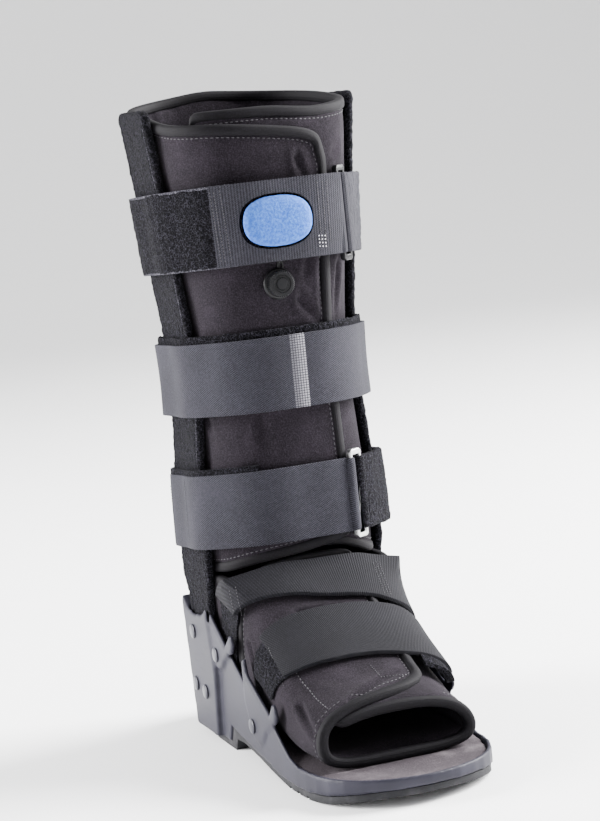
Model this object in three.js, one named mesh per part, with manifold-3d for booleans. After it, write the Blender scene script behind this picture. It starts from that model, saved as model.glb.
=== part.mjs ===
// A tall medical walking boot for a right foot, in millimetres, +Z up.
// The toe points to -Y, the outer (lateral) side is -X. The origin lies on the ground, under the
// ankle axis, in the middle of the boot. A stiff sole shell carries two padded uprights. A foam liner
// stands between them, and straps go round the leg and over the foot.
import * as THREE from "three";
import { mergeVertices } from "three/addons/utils/BufferGeometryUtils.js";
import Module from "manifold-3d";

const wasm = await Module();
wasm.setup();

// Driving sizes of the boot
const bootHeight = 418; // ground to the back rim of the liner
const toeReach = 209; // ankle axis to the tip of the sole
const heelReach = 80; // ankle axis to the back of the sole
const soleWidth = 118;
const clearance = 0.4; // gap between pieces that lie on each other

// Sole shell
const shellWall = 2.6;
const rimHeight = 17.5; // top of the rim at the toe
const heelBlockBottom = 5;
const housingHalfWidth = 61; // outer face of the pockets that hold the uprights
const housingTop = 92;
const housingFront = -8;
const housingRear = 48;
const pocketFloor = 22;
const hookPlateFace = 59.6; // outer face of the strap hook plates
const hookPlateThickness = 2.8;

// Footbed and outsole
const footbedThickness = 2.2;
const outsoleInset = 1.4;
const treadDepth = 1.4;
const treadWidth = 3;
const treadPitch = 13;

// Rivets
const rivetRadius = 5.5;
const rivetRise = 1.5;

// Uprights
const uprightTop = 409;
const uprightThickness = 5.5;
const uprightFront = -18;
const uprightRear = 36;
const uprightFlare = 71.5; // outer face at the top
const ankleHalfWidth = 61.3; // outer face over the ankle

// Liner
const linerThickness = 5;
const layerGap = 0.6;
const legFrontDepth = 60; // ankle axis to the front of the liner at its top
const legBackDepth = 76;
const seamHeight = 112; // where the leg part is sewn to the heel part
const toeOpening = 165; // ankle axis to the edge of the toe opening
const vampRear = 42; // ankle axis to the back edge of the foot part
const toeLinerHeight = 56;
const instepHeight = 122;
const footHalfWidth = 52.4;

// Straps
const strapThickness = 2.6;
const strapClearance = 0.8;
const topStrap = { low: 309, high: 359, slope: 0.05 };
const middleStrap = { low: 217, high: 263, slope: 0.04 };
const ankleStrap = { low: 134, high: 181, slope: 0.07 };
const middlePadThickness = 1.6;
const middlePadRise = 5; // how far the pad shows above the strap
const tabThickness = 1.4;
const ringWire = 3.6;

// Pump and valve
const bulbCentre = { x: -6, z: (topStrap.low + topStrap.high) / 2 };
const bulbWidth = 45;
const bulbHeight = 31;
const bulbRise = 6;
const valveShare = 0.66; // place of the valve between the middle strap's pad and the top strap
const padTop = middleStrap.high + middlePadRise;
const valveHeight = padTop + valveShare * (topStrap.low - padTop);
const valveAcross = -7;
const valveRadius = 8.5;
const valveLength = 8;

const degree = Math.PI / 180;

// Straight-line reading of a table of [place, value] pairs
function readTable(rows, place) {
  if (place <= rows[0][0]) return rows[0][1];
  for (let i = 1; i < rows.length; i += 1) {
    const [before, low] = rows[i - 1];
    const [after, high] = rows[i];
    if (place <= after) return low + ((high - low) * (place - before)) / (after - before);
  }
  return rows[rows.length - 1][1];
}

// Solids from lists of points
function toGeometry(points, triangles) {
  const geometry = new THREE.BufferGeometry();
  const flat = points.flatMap((p) => [p.x, p.y, p.z]);
  geometry.setAttribute("position", new THREE.Float32BufferAttribute(flat, 3));
  geometry.setIndex(triangles.flat());
  return outward(geometry);
}

// Turns all faces round where a closed shape has come out inside out
function outward(geometry) {
  const position = geometry.attributes.position;
  const index = geometry.index.array;
  const [a, b, c] = [new THREE.Vector3(), new THREE.Vector3(), new THREE.Vector3()];
  let volume = 0;
  for (let i = 0; i < index.length; i += 3) {
    a.fromBufferAttribute(position, index[i]);
    b.fromBufferAttribute(position, index[i + 1]);
    c.fromBufferAttribute(position, index[i + 2]);
    volume += a.dot(b.cross(c));
  }
  if (volume < 0) {
    for (let i = 0; i < index.length; i += 3) {
      [index[i + 1], index[i + 2]] = [index[i + 2], index[i + 1]];
    }
  }
  return geometry;
}

// A sheet with thickness: outer and inner grids of points, [column][row]
function wallSolid(outer, inner, closed) {
  const columns = outer.length;
  const rows = outer[0].length;
  const points = [...outer.flat(), ...inner.flat()];
  const out = (i, j) => (i % columns) * rows + j;
  const into = (i, j) => columns * rows + (i % columns) * rows + j;
  const triangles = [];
  const quad = (a, b, c, d) => triangles.push([a, b, c], [a, c, d]);
  const steps = closed ? columns : columns - 1;
  for (let i = 0; i < steps; i += 1) {
    for (let j = 0; j < rows - 1; j += 1) {
      quad(out(i, j), out(i + 1, j), out(i + 1, j + 1), out(i, j + 1));
      quad(into(i, j), into(i, j + 1), into(i + 1, j + 1), into(i + 1, j));
    }
    quad(out(i, 0), into(i, 0), into(i + 1, 0), out(i + 1, 0));
    quad(out(i, rows - 1), out(i + 1, rows - 1), into(i + 1, rows - 1), into(i, rows - 1));
  }
  if (!closed) {
    const last = columns - 1;
    for (let j = 0; j < rows - 1; j += 1) {
      quad(out(0, j), out(0, j + 1), into(0, j + 1), into(0, j));
      quad(out(last, j), into(last, j), into(last, j + 1), out(last, j + 1));
    }
  }
  return toGeometry(points, triangles);
}

// A solid through closed sections with as many points each, capped at both ends
function loftSolid(sections) {
  const count = sections[0].length;
  const points = sections.flat();
  const triangles = [];
  for (let s = 0; s < sections.length - 1; s += 1) {
    for (let i = 0; i < count; i += 1) {
      const next = (i + 1) % count;
      const [a, b] = [s * count + i, s * count + next];
      triangles.push([a, b, b + count], [a, b + count, a + count]);
    }
  }
  const last = (sections.length - 1) * count;
  for (let i = 1; i < count - 1; i += 1) {
    triangles.push([0, i + 1, i], [last, last + i, last + i + 1]);
  }
  return toGeometry(points, triangles);
}

// Joining and cutting
function toManifold(geometry) {
  const plain = geometry.clone();
  plain.deleteAttribute("normal");
  plain.deleteAttribute("uv");
  const merged = mergeVertices(plain, 1e-4);
  return new wasm.Manifold(
    new wasm.Mesh({
      numProp: 3,
      vertProperties: new Float32Array(merged.attributes.position.array),
      triVerts: new Uint32Array(merged.index.array),
    }),
  );
}

function fromManifold(solid) {
  const mesh = solid.getMesh();
  const geometry = new THREE.BufferGeometry();
  geometry.setAttribute("position", new THREE.BufferAttribute(new Float32Array(mesh.vertProperties), 3));
  geometry.setIndex(new THREE.BufferAttribute(new Uint32Array(mesh.triVerts), 1));
  return geometry;
}

function box(low, high) {
  const size = high.map((value, axis) => value - low[axis]);
  const centre = high.map((value, axis) => (value + low[axis]) / 2);
  return toManifold(new THREE.BoxGeometry(...size).translate(...centre));
}

// An outline of [x, y] points raised from one height to another
function prism(outline, low, high) {
  const shape = new THREE.Shape(outline.map(([x, y]) => new THREE.Vector2(x, y)));
  const solid = new THREE.ExtrudeGeometry(shape, { depth: high - low, bevelEnabled: false });
  return toManifold(solid.translate(0, 0, low));
}

// A side outline of [y, z] points, spread from one x to another
function sidePlate(outline, from, to) {
  const shape = new THREE.Shape(outline.map(([y, z]) => new THREE.Vector2(y, z)));
  const solid = new THREE.ExtrudeGeometry(shape, { depth: to - from, bevelEnabled: false });
  const axes = new THREE.Matrix4().makeBasis(
    new THREE.Vector3(0, 1, 0),
    new THREE.Vector3(0, 0, 1),
    new THREE.Vector3(1, 0, 0),
  );
  return toManifold(solid.applyMatrix4(axes).translate(from, 0, 0));
}

// Materials, in the colours of the real boot
const finishes = {
  shell: { color: 0x55555e, roughness: 0.45, metalness: 0 },
  rubber: { color: 0x1c1c20, roughness: 0.8, metalness: 0 },
  footbed: { color: 0x2b2728, roughness: 0.9, metalness: 0 },
  liner: { color: 0x221f22, roughness: 0.95, metalness: 0 },
  loopPile: { color: 0x29292d, roughness: 1, metalness: 0 },
  webbing: { color: 0x4a4a50, roughness: 0.85, metalness: 0 },
  footWebbing: { color: 0x38383e, roughness: 0.85, metalness: 0 },
  bulb: { color: 0x5b8fd0, roughness: 0.8, metalness: 0 },
  blackPlastic: { color: 0x18181b, roughness: 0.4, metalness: 0 },
  steel: { color: 0xc8c8cc, roughness: 0.3, metalness: 1 },
};

const boot = new THREE.Group();

function addPiece(name, geometry, finish) {
  const mesh = new THREE.Mesh(geometry, new THREE.MeshStandardMaterial(finishes[finish]));
  mesh.name = name;
  boot.add(mesh);
  return mesh;
}

// Plan outline of the sole: [place between toe 0 and heel 1, share of the half width]
const planRows = [
  [0.01, 0.3],
  [0.035, 0.58],
  [0.076, 0.8],
  [0.135, 0.94],
  [0.21, 0.99],
  [0.31, 1],
  [0.43, 0.985],
  [0.57, 0.975],
  [0.72, 0.97],
  [0.85, 0.94],
  [0.92, 0.83],
  [0.965, 0.62],
  [0.993, 0.32],
];
const planSegments = 48;

function planOutline(grow) {
  const toY = (share) => share * (toeReach + heelReach) - toeReach;
  const right = planRows.map(([place, share]) => [(share * soleWidth) / 2, toY(place)]);
  const left = [...right].reverse().map(([x, y]) => [-x, y]);
  const loop = [[0, -toeReach], ...right, [0, heelReach], ...left];
  const curve = new THREE.SplineCurve([...loop, loop[0]].map(([x, y]) => new THREE.Vector2(x, y)));
  const spots = curve.getPoints(planSegments).slice(0, planSegments);
  return spots.map((spot, i) => {
    const before = spots[(i + planSegments - 1) % planSegments];
    const after = spots[(i + 1) % planSegments];
    const along = after.clone().sub(before).normalize();
    return [spot.x + along.y * grow, spot.y - along.x * grow];
  });
}

// Side profiles of the sole, [y, z], as shares of the reach to the toe and of named heights
const archFront = -20;
const soleBottomRows = [
  [-1.05 * toeReach, 12],
  [-0.95 * toeReach, 9.6],
  [-0.84 * toeReach, 6],
  [-0.7 * toeReach, 4.2],
  [-0.53 * toeReach, 5],
  [-0.33 * toeReach, 9],
  [-0.18 * toeReach, 13],
  [archFront, 16],
];
const floorRows = [
  [-1.05 * toeReach, rimHeight - 4.5],
  [-0.79 * toeReach, rimHeight - 4.5],
  [-0.29 * toeReach, rimHeight],
  [0, rimHeight + 3.5],
  [1.1 * heelReach, rimHeight + 3.5],
];
const floorAt = (y) => readTable(floorRows, y);
const footbedTop = (y) => floorAt(y) + footbedThickness + clearance / 2;

// The rim of the shell seen from the side: low round the toe, climbing to the pockets
const rimRows = [
  [-1.05 * toeReach, rimHeight],
  [-0.695 * toeReach, rimHeight],
  [-0.63 * toeReach, 0.22 * housingTop],
  [-0.575 * toeReach, 0.29 * housingTop],
  [-0.505 * toeReach, 0.39 * housingTop],
  [-0.45 * toeReach, 0.42 * housingTop],
  [-0.29 * toeReach, 0.52 * housingTop],
  [-0.155 * toeReach, 0.7 * housingTop],
  [-0.03 * toeReach, 0.83 * housingTop],
  [housingFront + 10, 0.86 * housingTop],
  [housingRear, 0.8 * housingTop],
  [housingRear + 6, 0.58 * housingTop],
  [1.1 * heelReach, 0.52 * housingTop],
];

// Pocket for the upright, seen from the side, with its scooped top edge
const housingOutline = [
  [housingFront + 6, heelBlockBottom],
  [housingFront, 0.51 * housingTop],
  [housingFront + 8, 0.955 * housingTop],
  [housingFront + 18, 0.915 * housingTop],
  [housingFront + 34, 0.897 * housingTop],
  [housingFront + 48, 0.93 * housingTop],
  [housingRear, housingTop],
  [housingRear - 6, heelBlockBottom],
];

// Plates with an ear and a hook: a strap tab comes out between the two
const rearHookOutline = [
  [2, 58],
  [4, 90],
  [0, 92],
  [-5, 86],
  [-30, 70],
  [-35, 74],
  [-41, 79],
  [-45, 78],
  [-46, 71],
  [-42, 66.5],
  [-36, 65],
  [-27, 60],
  [-20, 54],
  [-14, 52],
  [-7, 53],
];
const frontHookOutline = [
  [-60, 40],
  [-61, 67],
  [-65, 68],
  [-68, 58],
  [-104, 40],
  [-107, 44],
  [-111, 49],
  [-115, 48],
  [-117.5, 41],
  [-114, 36.5],
  [-106, 34],
  [-96, 28],
  [-88, 20.5],
  [-80, 17.5],
  [-70, 20],
];
const hookReach = 209; // the reach to the toe that the two plate outlines are drawn for
const hookRise = 92; // the pocket height that they are drawn for

function hookPlate(outline, side) {
  const sized = outline.map(([y, z]) => [(y * toeReach) / hookReach, (z * housingTop) / hookRise]);
  const outside = hookPlateFace;
  const inside = hookPlateFace - hookPlateThickness;
  return side < 0 ? sidePlate(sized, -outside, -inside) : sidePlate(sized, inside, outside);
}

function makeShell() {
  const farY = 1.04;
  const rimOutline = [
    ...rimRows,
    [heelReach * 1.1, heelBlockBottom],
    [archFront + 4, heelBlockBottom],
    [archFront, heelBlockBottom + 8],
    ...[...soleBottomRows].reverse(),
  ];
  const sideSpan = soleWidth;
  const tray = prism(planOutline(0), 0, housingTop + 10).intersect(sidePlate(rimOutline, -sideSpan, sideSpan));
  const floorLine = floorRows.map(([y, z]) => [y, z]);
  const above = [...floorLine, [heelReach * 1.2, housingTop * 1.5], [-toeReach * farY * 1.1, housingTop * 1.5]];
  const hollow = prism(planOutline(-shellWall), 0, housingTop + 20).intersect(sidePlate(above, -sideSpan, sideSpan));
  let shell = tray;
  for (const side of [-1, 1]) {
    const [from, to] = side < 0 ? [-housingHalfWidth, -housingHalfWidth + 7] : [housingHalfWidth - 7, housingHalfWidth];
    shell = shell.add(sidePlate(housingOutline, from, to));
  }
  shell = shell.subtract(hollow);
  for (const side of [-1, 1]) {
    shell = shell.add(hookPlate(rearHookOutline, side)).add(hookPlate(frontHookOutline, side));
  }
  for (const side of [-1, 1]) shell = shell.subtract(pocketSpace(side));
  return fromManifold(shell);
}

// The room that the foot of an upright takes in its pocket
function pocketSpace(side) {
  const inner = uprightOuter(0) - uprightThickness - clearance;
  const outer = uprightOuter(0) + clearance;
  const [from, to] = side < 0 ? [-outer, -inner + 10] : [inner - 10, outer];
  const low = [from, uprightFrontAt(0) - clearance * 2, pocketFloor];
  const high = [to, uprightRearAt(0) + clearance * 2, housingTop * 1.5];
  return box(low, high);
}

// The uprights: height share, outer face and the two edges, at hand-read heights
const uprightRows = [
  [0, 0.952, -0.22, 1.06],
  [0.23, 0.952, -0.22, 1.06],
  [0.265, 0.99, -0.8, 1.06],
  [0.3, 1, -1, 1],
  [0.41, 0.985, -1, 1],
  [0.52, 0.935, -1, 1],
  [0.59, 0.915, -1, 1],
  [0.665, 0.947, -1, 1],
  [0.74, 1.003, -1, 1],
  [0.87, 1.07, -1, 1],
  [1, 0, -1, 1],
];
const faceShares = uprightRows.map(([share, face], i) => [share, i === uprightRows.length - 1 ? null : face]);
faceShares[faceShares.length - 1][1] = uprightFlare / ankleHalfWidth;
const uprightOuter = (z) => ankleHalfWidth * readTable(faceShares, z / uprightTop);
const frontShares = uprightRows.map(([share, , front]) => [share, front]);
const rearShares = uprightRows.map(([share, , , rear]) => [share, rear]);
const uprightFrontAt = (z) => -uprightFront * readTable(frontShares, z / uprightTop);
const uprightRearAt = (z) => uprightRear * readTable(rearShares, z / uprightTop);

function makeUpright(side) {
  const corner = 1.6;
  const heights = [pocketFloor + clearance];
  for (const [share] of uprightRows) {
    if (share > 0.1 && share < 1) heights.push(share * uprightTop);
  }
  heights.push(uprightTop - 4, uprightTop);
  const sections = heights.map((z) => {
    const tip = z === uprightTop ? 4 : 0;
    const outer = uprightOuter(z);
    const inner = outer - uprightThickness;
    const front = uprightFrontAt(z) + tip;
    const rear = uprightRearAt(z) - tip;
    const outline = [
      [outer - corner, front],
      [outer, front + corner],
      [outer, rear - corner],
      [outer - corner, rear],
      [inner + corner, rear],
      [inner, rear - corner],
      [inner, front + corner],
      [inner + corner, front],
    ];
    return outline.map(([x, y]) => new THREE.Vector3(side * x, y, z));
  });
  return loftSolid(sections);
}

// The leg of the liner: share of the boot's height, then front and back shares of the two depths
const legRows = [
  [0, -0.83, 0.92],
  [0.15, -0.83, 0.9],
  [0.22, -0.83, 0.82],
  [0.28, -0.835, 0.79],
  [0.51, -0.85, 0.79],
  [0.63, -0.87, 0.87],
  [0.73, -0.93, 0.96],
  [0.85, -0.975, 1],
  [1, -1, 0.985],
];
const legFrontShares = legRows.map(([share, front]) => [share, front]);
const legBackShares = legRows.map(([share, , back]) => [share, back]);
const squareness = 3;

const legHalfWidth = (z) => uprightOuter(z) - uprightThickness - clearance;
const legFront = (z) => legFrontDepth * readTable(legFrontShares, z / bootHeight);
const legBack = (z) => legBackDepth * readTable(legBackShares, z / bootHeight);

// A point of the liner's outer face at an angle, where -90 degrees is the front
function legPoint(angle, z, sink) {
  const half = legHalfWidth(z) - sink;
  const front = legFront(z) + sink;
  const back = legBack(z) - sink;
  const middle = (front + back) / 2;
  const depth = (back - front) / 2;
  const [c, s] = [Math.cos(angle * degree), Math.sin(angle * degree)];
  const radius = (Math.abs(c) ** squareness + Math.abs(s) ** squareness) ** (-1 / squareness);
  return new THREE.Vector3(c * radius * half, middle + s * radius * depth, z);
}

// The leg wrap starts under its own outer flap, goes once round and ends on top of itself.
// Angle along the wrap, how far out it lies (0 under, 1 on top), and its two edges
const wrapRows = [
  [-140, 0, 0.3, 0.965],
  [-90, 0, 0.305, 0.965],
  [-62, 0, 0.3, 0.957],
  [-40, 0.5, 0.275, 0.962],
  [-15, 1, 0.2688, 0.972],
  [90, 1, 0.2688, 1],
  [170, 1, 0.2688, 0.974],
  [215, 1, 0.28, 0.948],
  [228, 1, 0.289, 0.947],
  [240, 1, 0.295, 0.945],
  [268, 1, 0.302, 0.936],
  [290, 1, 0.31, 0.928],
  [300, 1, 0.318, 0.912],
];
const wrapColumns = 55;
const wrapLevels = [0.35, 0.41, 0.52, 0.59, 0.665, 0.74, 0.87];

function makeLegLiner() {
  const layer = wrapRows.map(([angle, out]) => [angle, out]);
  const lower = wrapRows.map(([angle, , low]) => [angle, low]);
  const upper = wrapRows.map(([angle, , , high]) => [angle, high]);
  const start = wrapRows[0][0];
  const finish = wrapRows[wrapRows.length - 1][0];
  const grid = (depth) =>
    Array.from({ length: wrapColumns + 1 }, (_, i) => {
      const angle = start + ((finish - start) * i) / wrapColumns;
      const low = readTable(lower, angle) * bootHeight;
      const high = readTable(upper, angle) * bootHeight;
      const sink = (1 - readTable(layer, angle)) * (linerThickness + layerGap) + depth;
      const heights = [low, ...wrapLevels.map((share) => share * uprightTop), high];
      return heights.map((z) => legPoint(angle, z, sink));
    });
  return wallSolid(grid(0), grid(linerThickness), false);
}

// The heel part of the liner: two flat sides joined round the heel, open to the front
function makeHeelLiner() {
  const sideSteps = 3;
  const backSteps = 16;
  const heights = [0, 0.25, 0.5, 0.79, 0.955, 1];
  const outline = (z, sink) => {
    const half = legHalfWidth(z) - sink;
    const back = legBack(z) - sink;
    const turn = back - 40;
    const spots = [];
    for (let i = 0; i < sideSteps; i += 1) {
      const y = -vampRear + clearance + ((turn + vampRear) * i) / sideSteps;
      spots.push(new THREE.Vector3(half, y, z));
    }
    for (let i = 0; i <= backSteps; i += 1) {
      const angle = (Math.PI * i) / backSteps;
      const [c, s] = [Math.cos(angle), Math.sin(angle)];
      const radius = (Math.abs(c) ** 2.4 + s ** 2.4) ** (-1 / 2.4);
      spots.push(new THREE.Vector3(half * c * radius, turn + (back - turn) * s * radius, z));
    }
    for (let i = sideSteps - 1; i >= 0; i -= 1) {
      const y = -vampRear + clearance + ((turn + vampRear) * i) / sideSteps;
      spots.push(new THREE.Vector3(-half, y, z));
    }
    return spots;
  };
  const bottom = footbedTop(heelReach) + clearance;
  const columns = (sink) => {
    const levels = heights.map((share) => outline(bottom + (seamHeight - bottom) * share, sink));
    return levels[0].map((_, i) => levels.map((level) => level[i]));
  };
  return wallSolid(columns(0), columns(linerThickness), false);
}

// The foot of the liner: place between the back edge 0 and the toe opening 1, half width and top
const footRows = [
  [-0.35, 1, 1.12],
  [0, 1, 1],
  [0.07, 1, 0.96],
  [0.28, 1, 0.81],
  [0.4, 1.005, 0.735],
  [0.7, 1.02, 0.54],
  [0.9, 0.985, 0.48],
  [1, 0.96, 0.46],
  [1.1, 0.92, 0.43],
];
const footWidthShares = footRows.map(([place, width]) => [place, width]);
const footTopShares = footRows.map(([place, , top]) => [place, top]);
const footSquareness = 2.3;
const toeTopShare = toeLinerHeight / (0.46 * instepHeight);

const footPlace = (y) => (-vampRear - y) / (toeOpening - vampRear);
const footTop = (y) => {
  const place = footPlace(y);
  const toeEffect = 1 + (toeTopShare - 1) * Math.max(0, Math.min(1, place));
  return instepHeight * readTable(footTopShares, place) * toeEffect;
};
const footHalf = (y) => footHalfWidth * readTable(footWidthShares, footPlace(y));

// A point of the foot part's outer face: 90 degrees is the top, 0 the inner side of the foot
function footPoint(angle, y, sink) {
  const bottom = footbedTop(y) + clearance + sink;
  const top = footTop(y) - sink;
  const half = footHalf(y) - sink;
  const middle = bottom + (top - bottom) * 0.42;
  const [c, s] = [Math.cos(angle * degree), Math.sin(angle * degree)];
  const boxiness = 1.4 * Math.max(0, 1 - 2.5 * Math.max(0, footPlace(y)));
  const power = s > 0 ? footSquareness + boxiness : 4;
  const radius = (Math.abs(c) ** power + Math.abs(s) ** power) ** (-1 / power);
  const rise = s > 0 ? top - middle : middle - bottom;
  return new THREE.Vector3(c * radius * half, y, middle + s * radius * rise);
}

// The foot wrap, from its inner flap over the top, under the foot and up to the outer flap.
// Angle along the wrap, how far out it lies, and how far its front edge is set back
const footWrapRows = [
  [-150, 0, 0],
  [-25, 0, 0],
  [20, 1, 0],
  [180, 1, 0],
  [245, 1, 3],
  [270, 1, 6],
  [285, 1, 10],
  [300, 1, 20],
];
const footStep = 7.5;
const footStations = [0.82, 0.7, 0.55, 0.4, 0.28, 0.14, 0];

function makeFootLiner() {
  const layer = footWrapRows.map(([angle, out]) => [angle, out]);
  const setBack = footWrapRows.map(([angle, , back]) => [angle, back]);
  const start = footWrapRows[0][0];
  const finish = footWrapRows[footWrapRows.length - 1][0];
  const grid = (depth) =>
    Array.from({ length: (finish - start) / footStep + 1 }, (_, i) => {
      const angle = start + footStep * i;
      const front = -toeOpening + readTable(setBack, angle);
      const sink = (1 - readTable(layer, angle)) * (linerThickness + layerGap) + depth;
      const stations = [front, ...footStations.map((place) => -vampRear - place * (toeOpening - vampRear))];
      return stations.map((y) => footPoint(-angle, y, sink));
    });
  return wallSolid(grid(0), grid(linerThickness), false);
}

function makeFootbed() {
  const inset = shellWall + clearance;
  const line = floorRows.map(([y, z]) => [y, z + clearance / 2]);
  const upper = [...floorRows].reverse().map(([y, z]) => [y, z + clearance / 2 + footbedThickness]);
  const pad = prism(planOutline(-inset), 0, housingTop).intersect(sidePlate([...line, ...upper], -soleWidth, soleWidth));
  return fromManifold(pad.subtract(pocketSpace(-1)).subtract(pocketSpace(1)));
}

// Underside of the outsole, [y, z]: flat under the heel and the ball, hollow under the arch
const outsoleUnderRows = [
  [-1.05 * toeReach, 8.2],
  [-0.95 * toeReach, 5.2],
  [-0.84 * toeReach, 1.4],
  [-0.76 * toeReach, 0],
  [-0.6 * toeReach, 0],
  [-0.47 * toeReach, 2.4],
  [-0.33 * toeReach, 6],
  [-0.2 * toeReach, 9],
  [archFront - 7, 8],
  [archFront - 3, 0],
  [0.6 * heelReach, 0],
  [1.1 * heelReach, 5],
];

function makeOutsole() {
  const gap = clearance / 2;
  const top = [
    [1.1 * heelReach, heelBlockBottom - gap],
    [archFront + 4 - gap, heelBlockBottom - gap],
    [archFront - gap, heelBlockBottom + 8 - gap],
    ...[...soleBottomRows].reverse().map(([y, z]) => [y - gap, z - gap]),
  ];
  const underRows = outsoleUnderRows.map(([y, z]) => [y, Math.min(z, heelBlockBottom - 1.2 + (y < archFront ? 5 : 0))]);
  const sheet = sidePlate([...underRows, ...top], -soleWidth, soleWidth);
  let sole = prism(planOutline(-outsoleInset), -10, housingTop).intersect(sheet);
  const grooveReach = soleWidth;
  for (let y = -0.74 * toeReach; y < -0.6 * toeReach; y += treadPitch) {
    sole = sole.subtract(box([-grooveReach, y, -10], [grooveReach, y + treadWidth, treadDepth]));
  }
  for (const y of [0.22 * heelReach, 0.22 * heelReach + treadPitch]) {
    sole = sole.subtract(box([-grooveReach, y, -10], [grooveReach, y + treadWidth, treadDepth]));
  }
  return fromManifold(sole);
}

// Rivets: name, [y, z] and the face that each sits on
const rivetRows = [
  ["pocket_upper", 28, 70, housingHalfWidth],
  ["pocket_rear", 33, 34, housingHalfWidth],
  ["pocket_front", 14, 32, housingHalfWidth],
  ["hook_rear", -11.5, 61, hookPlateFace],
  ["hook_front", -72, 27, hookPlateFace],
];

function makeRivet() {
  const dome = [[0, 0], [rivetRadius, 0], [rivetRadius * 0.92, rivetRise * 0.55]];
  dome.push([rivetRadius * 0.6, rivetRise * 0.9], [0, rivetRise]);
  return new THREE.LatheGeometry(dome.map(([r, h]) => new THREE.Vector2(r, h)), 10);
}

// Closed path round the liner and both uprights at a height, as radii at even angles
const bandSegments = 54;
const bandMiddle = 8;

function bandRadii(z) {
  const spots = [];
  for (let angle = 0; angle < 360; angle += 5) {
    const spot = legPoint(angle, z, 0);
    spots.push([spot.x, spot.y]);
  }
  for (const x of [-uprightOuter(z), uprightOuter(z)]) {
    spots.push([x, uprightFrontAt(z)], [x, uprightRearAt(z)]);
  }
  const hull = convexHull(spots);
  const reach = (angle) => {
    const [c, s] = [Math.cos(angle), Math.sin(angle)];
    let furthest = 0;
    hull.forEach(([ax, ay], i) => {
      const [bx, by] = hull[(i + 1) % hull.length];
      const [dx, dy] = [bx - ax, by - ay];
      const [px, py] = [ax, ay - bandMiddle];
      const cross = c * dy - s * dx;
      if (Math.abs(cross) < 1e-9) return;
      const along = (px * dy - py * dx) / cross;
      const share = (px * s - py * c) / cross;
      if (along > 0 && share >= -1e-6 && share <= 1 + 1e-6) furthest = Math.max(furthest, along);
    });
    return furthest;
  };
  const step = (2 * Math.PI) / bandSegments;
  return Array.from({ length: bandSegments }, (_, i) => {
    const around = [-0.9, -0.45, 0, 0.45, 0.9].map((shift) => reach((i + shift) * step));
    return Math.max(...around);
  });
}

function convexHull(spots) {
  const sorted = [...spots].sort((a, b) => a[0] - b[0] || a[1] - b[1]);
  const turn = (o, a, b) => (a[0] - o[0]) * (b[1] - o[1]) - (a[1] - o[1]) * (b[0] - o[0]);
  const half = (list) => {
    const chain = [];
    for (const spot of list) {
      while (chain.length > 1 && turn(chain[chain.length - 2], chain[chain.length - 1], spot) <= 0) chain.pop();
      chain.push(spot);
    }
    return chain.slice(0, -1);
  };
  return [...half(sorted), ...half([...sorted].reverse())];
}

// A band round the leg, whole or between two angles, lifted off the path by a distance.
// The angles count from the inner side (0) by way of the back (90) and the outer side (180)
function legBand({ low, high, slope }, lift, thickness, from = 0, to = 360, levels = 3) {
  const whole = to - from >= 360;
  const step = 360 / bandSegments;
  const angles = [];
  if (whole) {
    for (let i = 0; i < bandSegments; i += 1) angles.push(i * step);
  } else {
    angles.push(from);
    for (let angle = Math.ceil((from + 1) / step) * step; angle < to - 1; angle += step) angles.push(angle);
    angles.push(to);
  }
  const radii = Array.from({ length: levels }, (_, j) => bandRadii(low + ((high - low) * j) / (levels - 1)));
  const grid = (extra) =>
    angles.map((angle) =>
      radii.map((list, j) => {
        const place = (((angle / step) % bandSegments) + bandSegments) % bandSegments;
        const first = Math.floor(place);
        const next = (first + 1) % bandSegments;
        const radius = list[first] + (list[next] - list[first]) * (place - first) + lift + extra;
        const y = bandMiddle + radius * Math.sin(angle * degree);
        const z = low + ((high - low) * j) / (levels - 1) - slope * (y + legFrontDepth);
        return new THREE.Vector3(radius * Math.cos(angle * degree), y, z);
      }),
    );
  return wallSolid(grid(thickness), grid(0), whole);
}

// Angles where the two rings lie, at the front of the inner side
const topRing = { from: 301.5, to: 309.5 };
const ankleRing = { from: 295.5, to: 305.5 };
const firstLift = strapClearance;
const secondLift = firstLift + strapThickness + clearance;
const panelStart = 234; // where the folded-back front panel of the top strap starts

// A rectangular wire ring that stands on the band's path, upright
function makeRing(place, strap, lift) {
  const z = (strap.low + strap.high) / 2;
  const middle = (place.from + place.to) / 2;
  const list = bandRadii(z);
  const step = 360 / bandSegments;
  const radius = list[Math.round(middle / step) % bandSegments] + lift + ringWire / 2;
  const half = (strap.high - strap.low) / 2 + 3 + ringWire / 2;
  const gapWidth = (radius * (place.to - place.from) * degree) / 2;
  const outerHalf = gapWidth - clearance;
  const frame = (wide, tall) => [
    [-wide, -tall + 1.5],
    [-wide + 1.5, -tall],
    [wide - 1.5, -tall],
    [wide, -tall + 1.5],
    [wide, tall - 1.5],
    [wide - 1.5, tall],
    [-wide + 1.5, tall],
    [-wide, tall - 1.5],
  ];
  const outerShape = new THREE.Shape(frame(outerHalf, half).map(([x, y]) => new THREE.Vector2(x, y)));
  const innerWide = outerHalf - ringWire * 0.6;
  const innerTall = half - ringWire;
  outerShape.holes.push(
    new THREE.Path(
      [[-innerWide, -innerTall], [-innerWide, innerTall], [innerWide, innerTall], [innerWide, -innerTall]].map(
        ([x, y]) => new THREE.Vector2(x, y),
      ),
    ),
  );
  const geometry = new THREE.ExtrudeGeometry(outerShape, { depth: ringWire, bevelEnabled: false });
  geometry.translate(0, 0, -ringWire / 2);
  const turn = (middle - 270) * degree;
  const y = bandMiddle + radius * Math.sin(middle * degree);
  geometry.rotateX(Math.PI / 2);
  geometry.rotateZ(turn);
  geometry.translate(radius * Math.cos(middle * degree), y, z - strap.slope * (y + legFrontDepth));
  return geometry;
}

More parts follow.
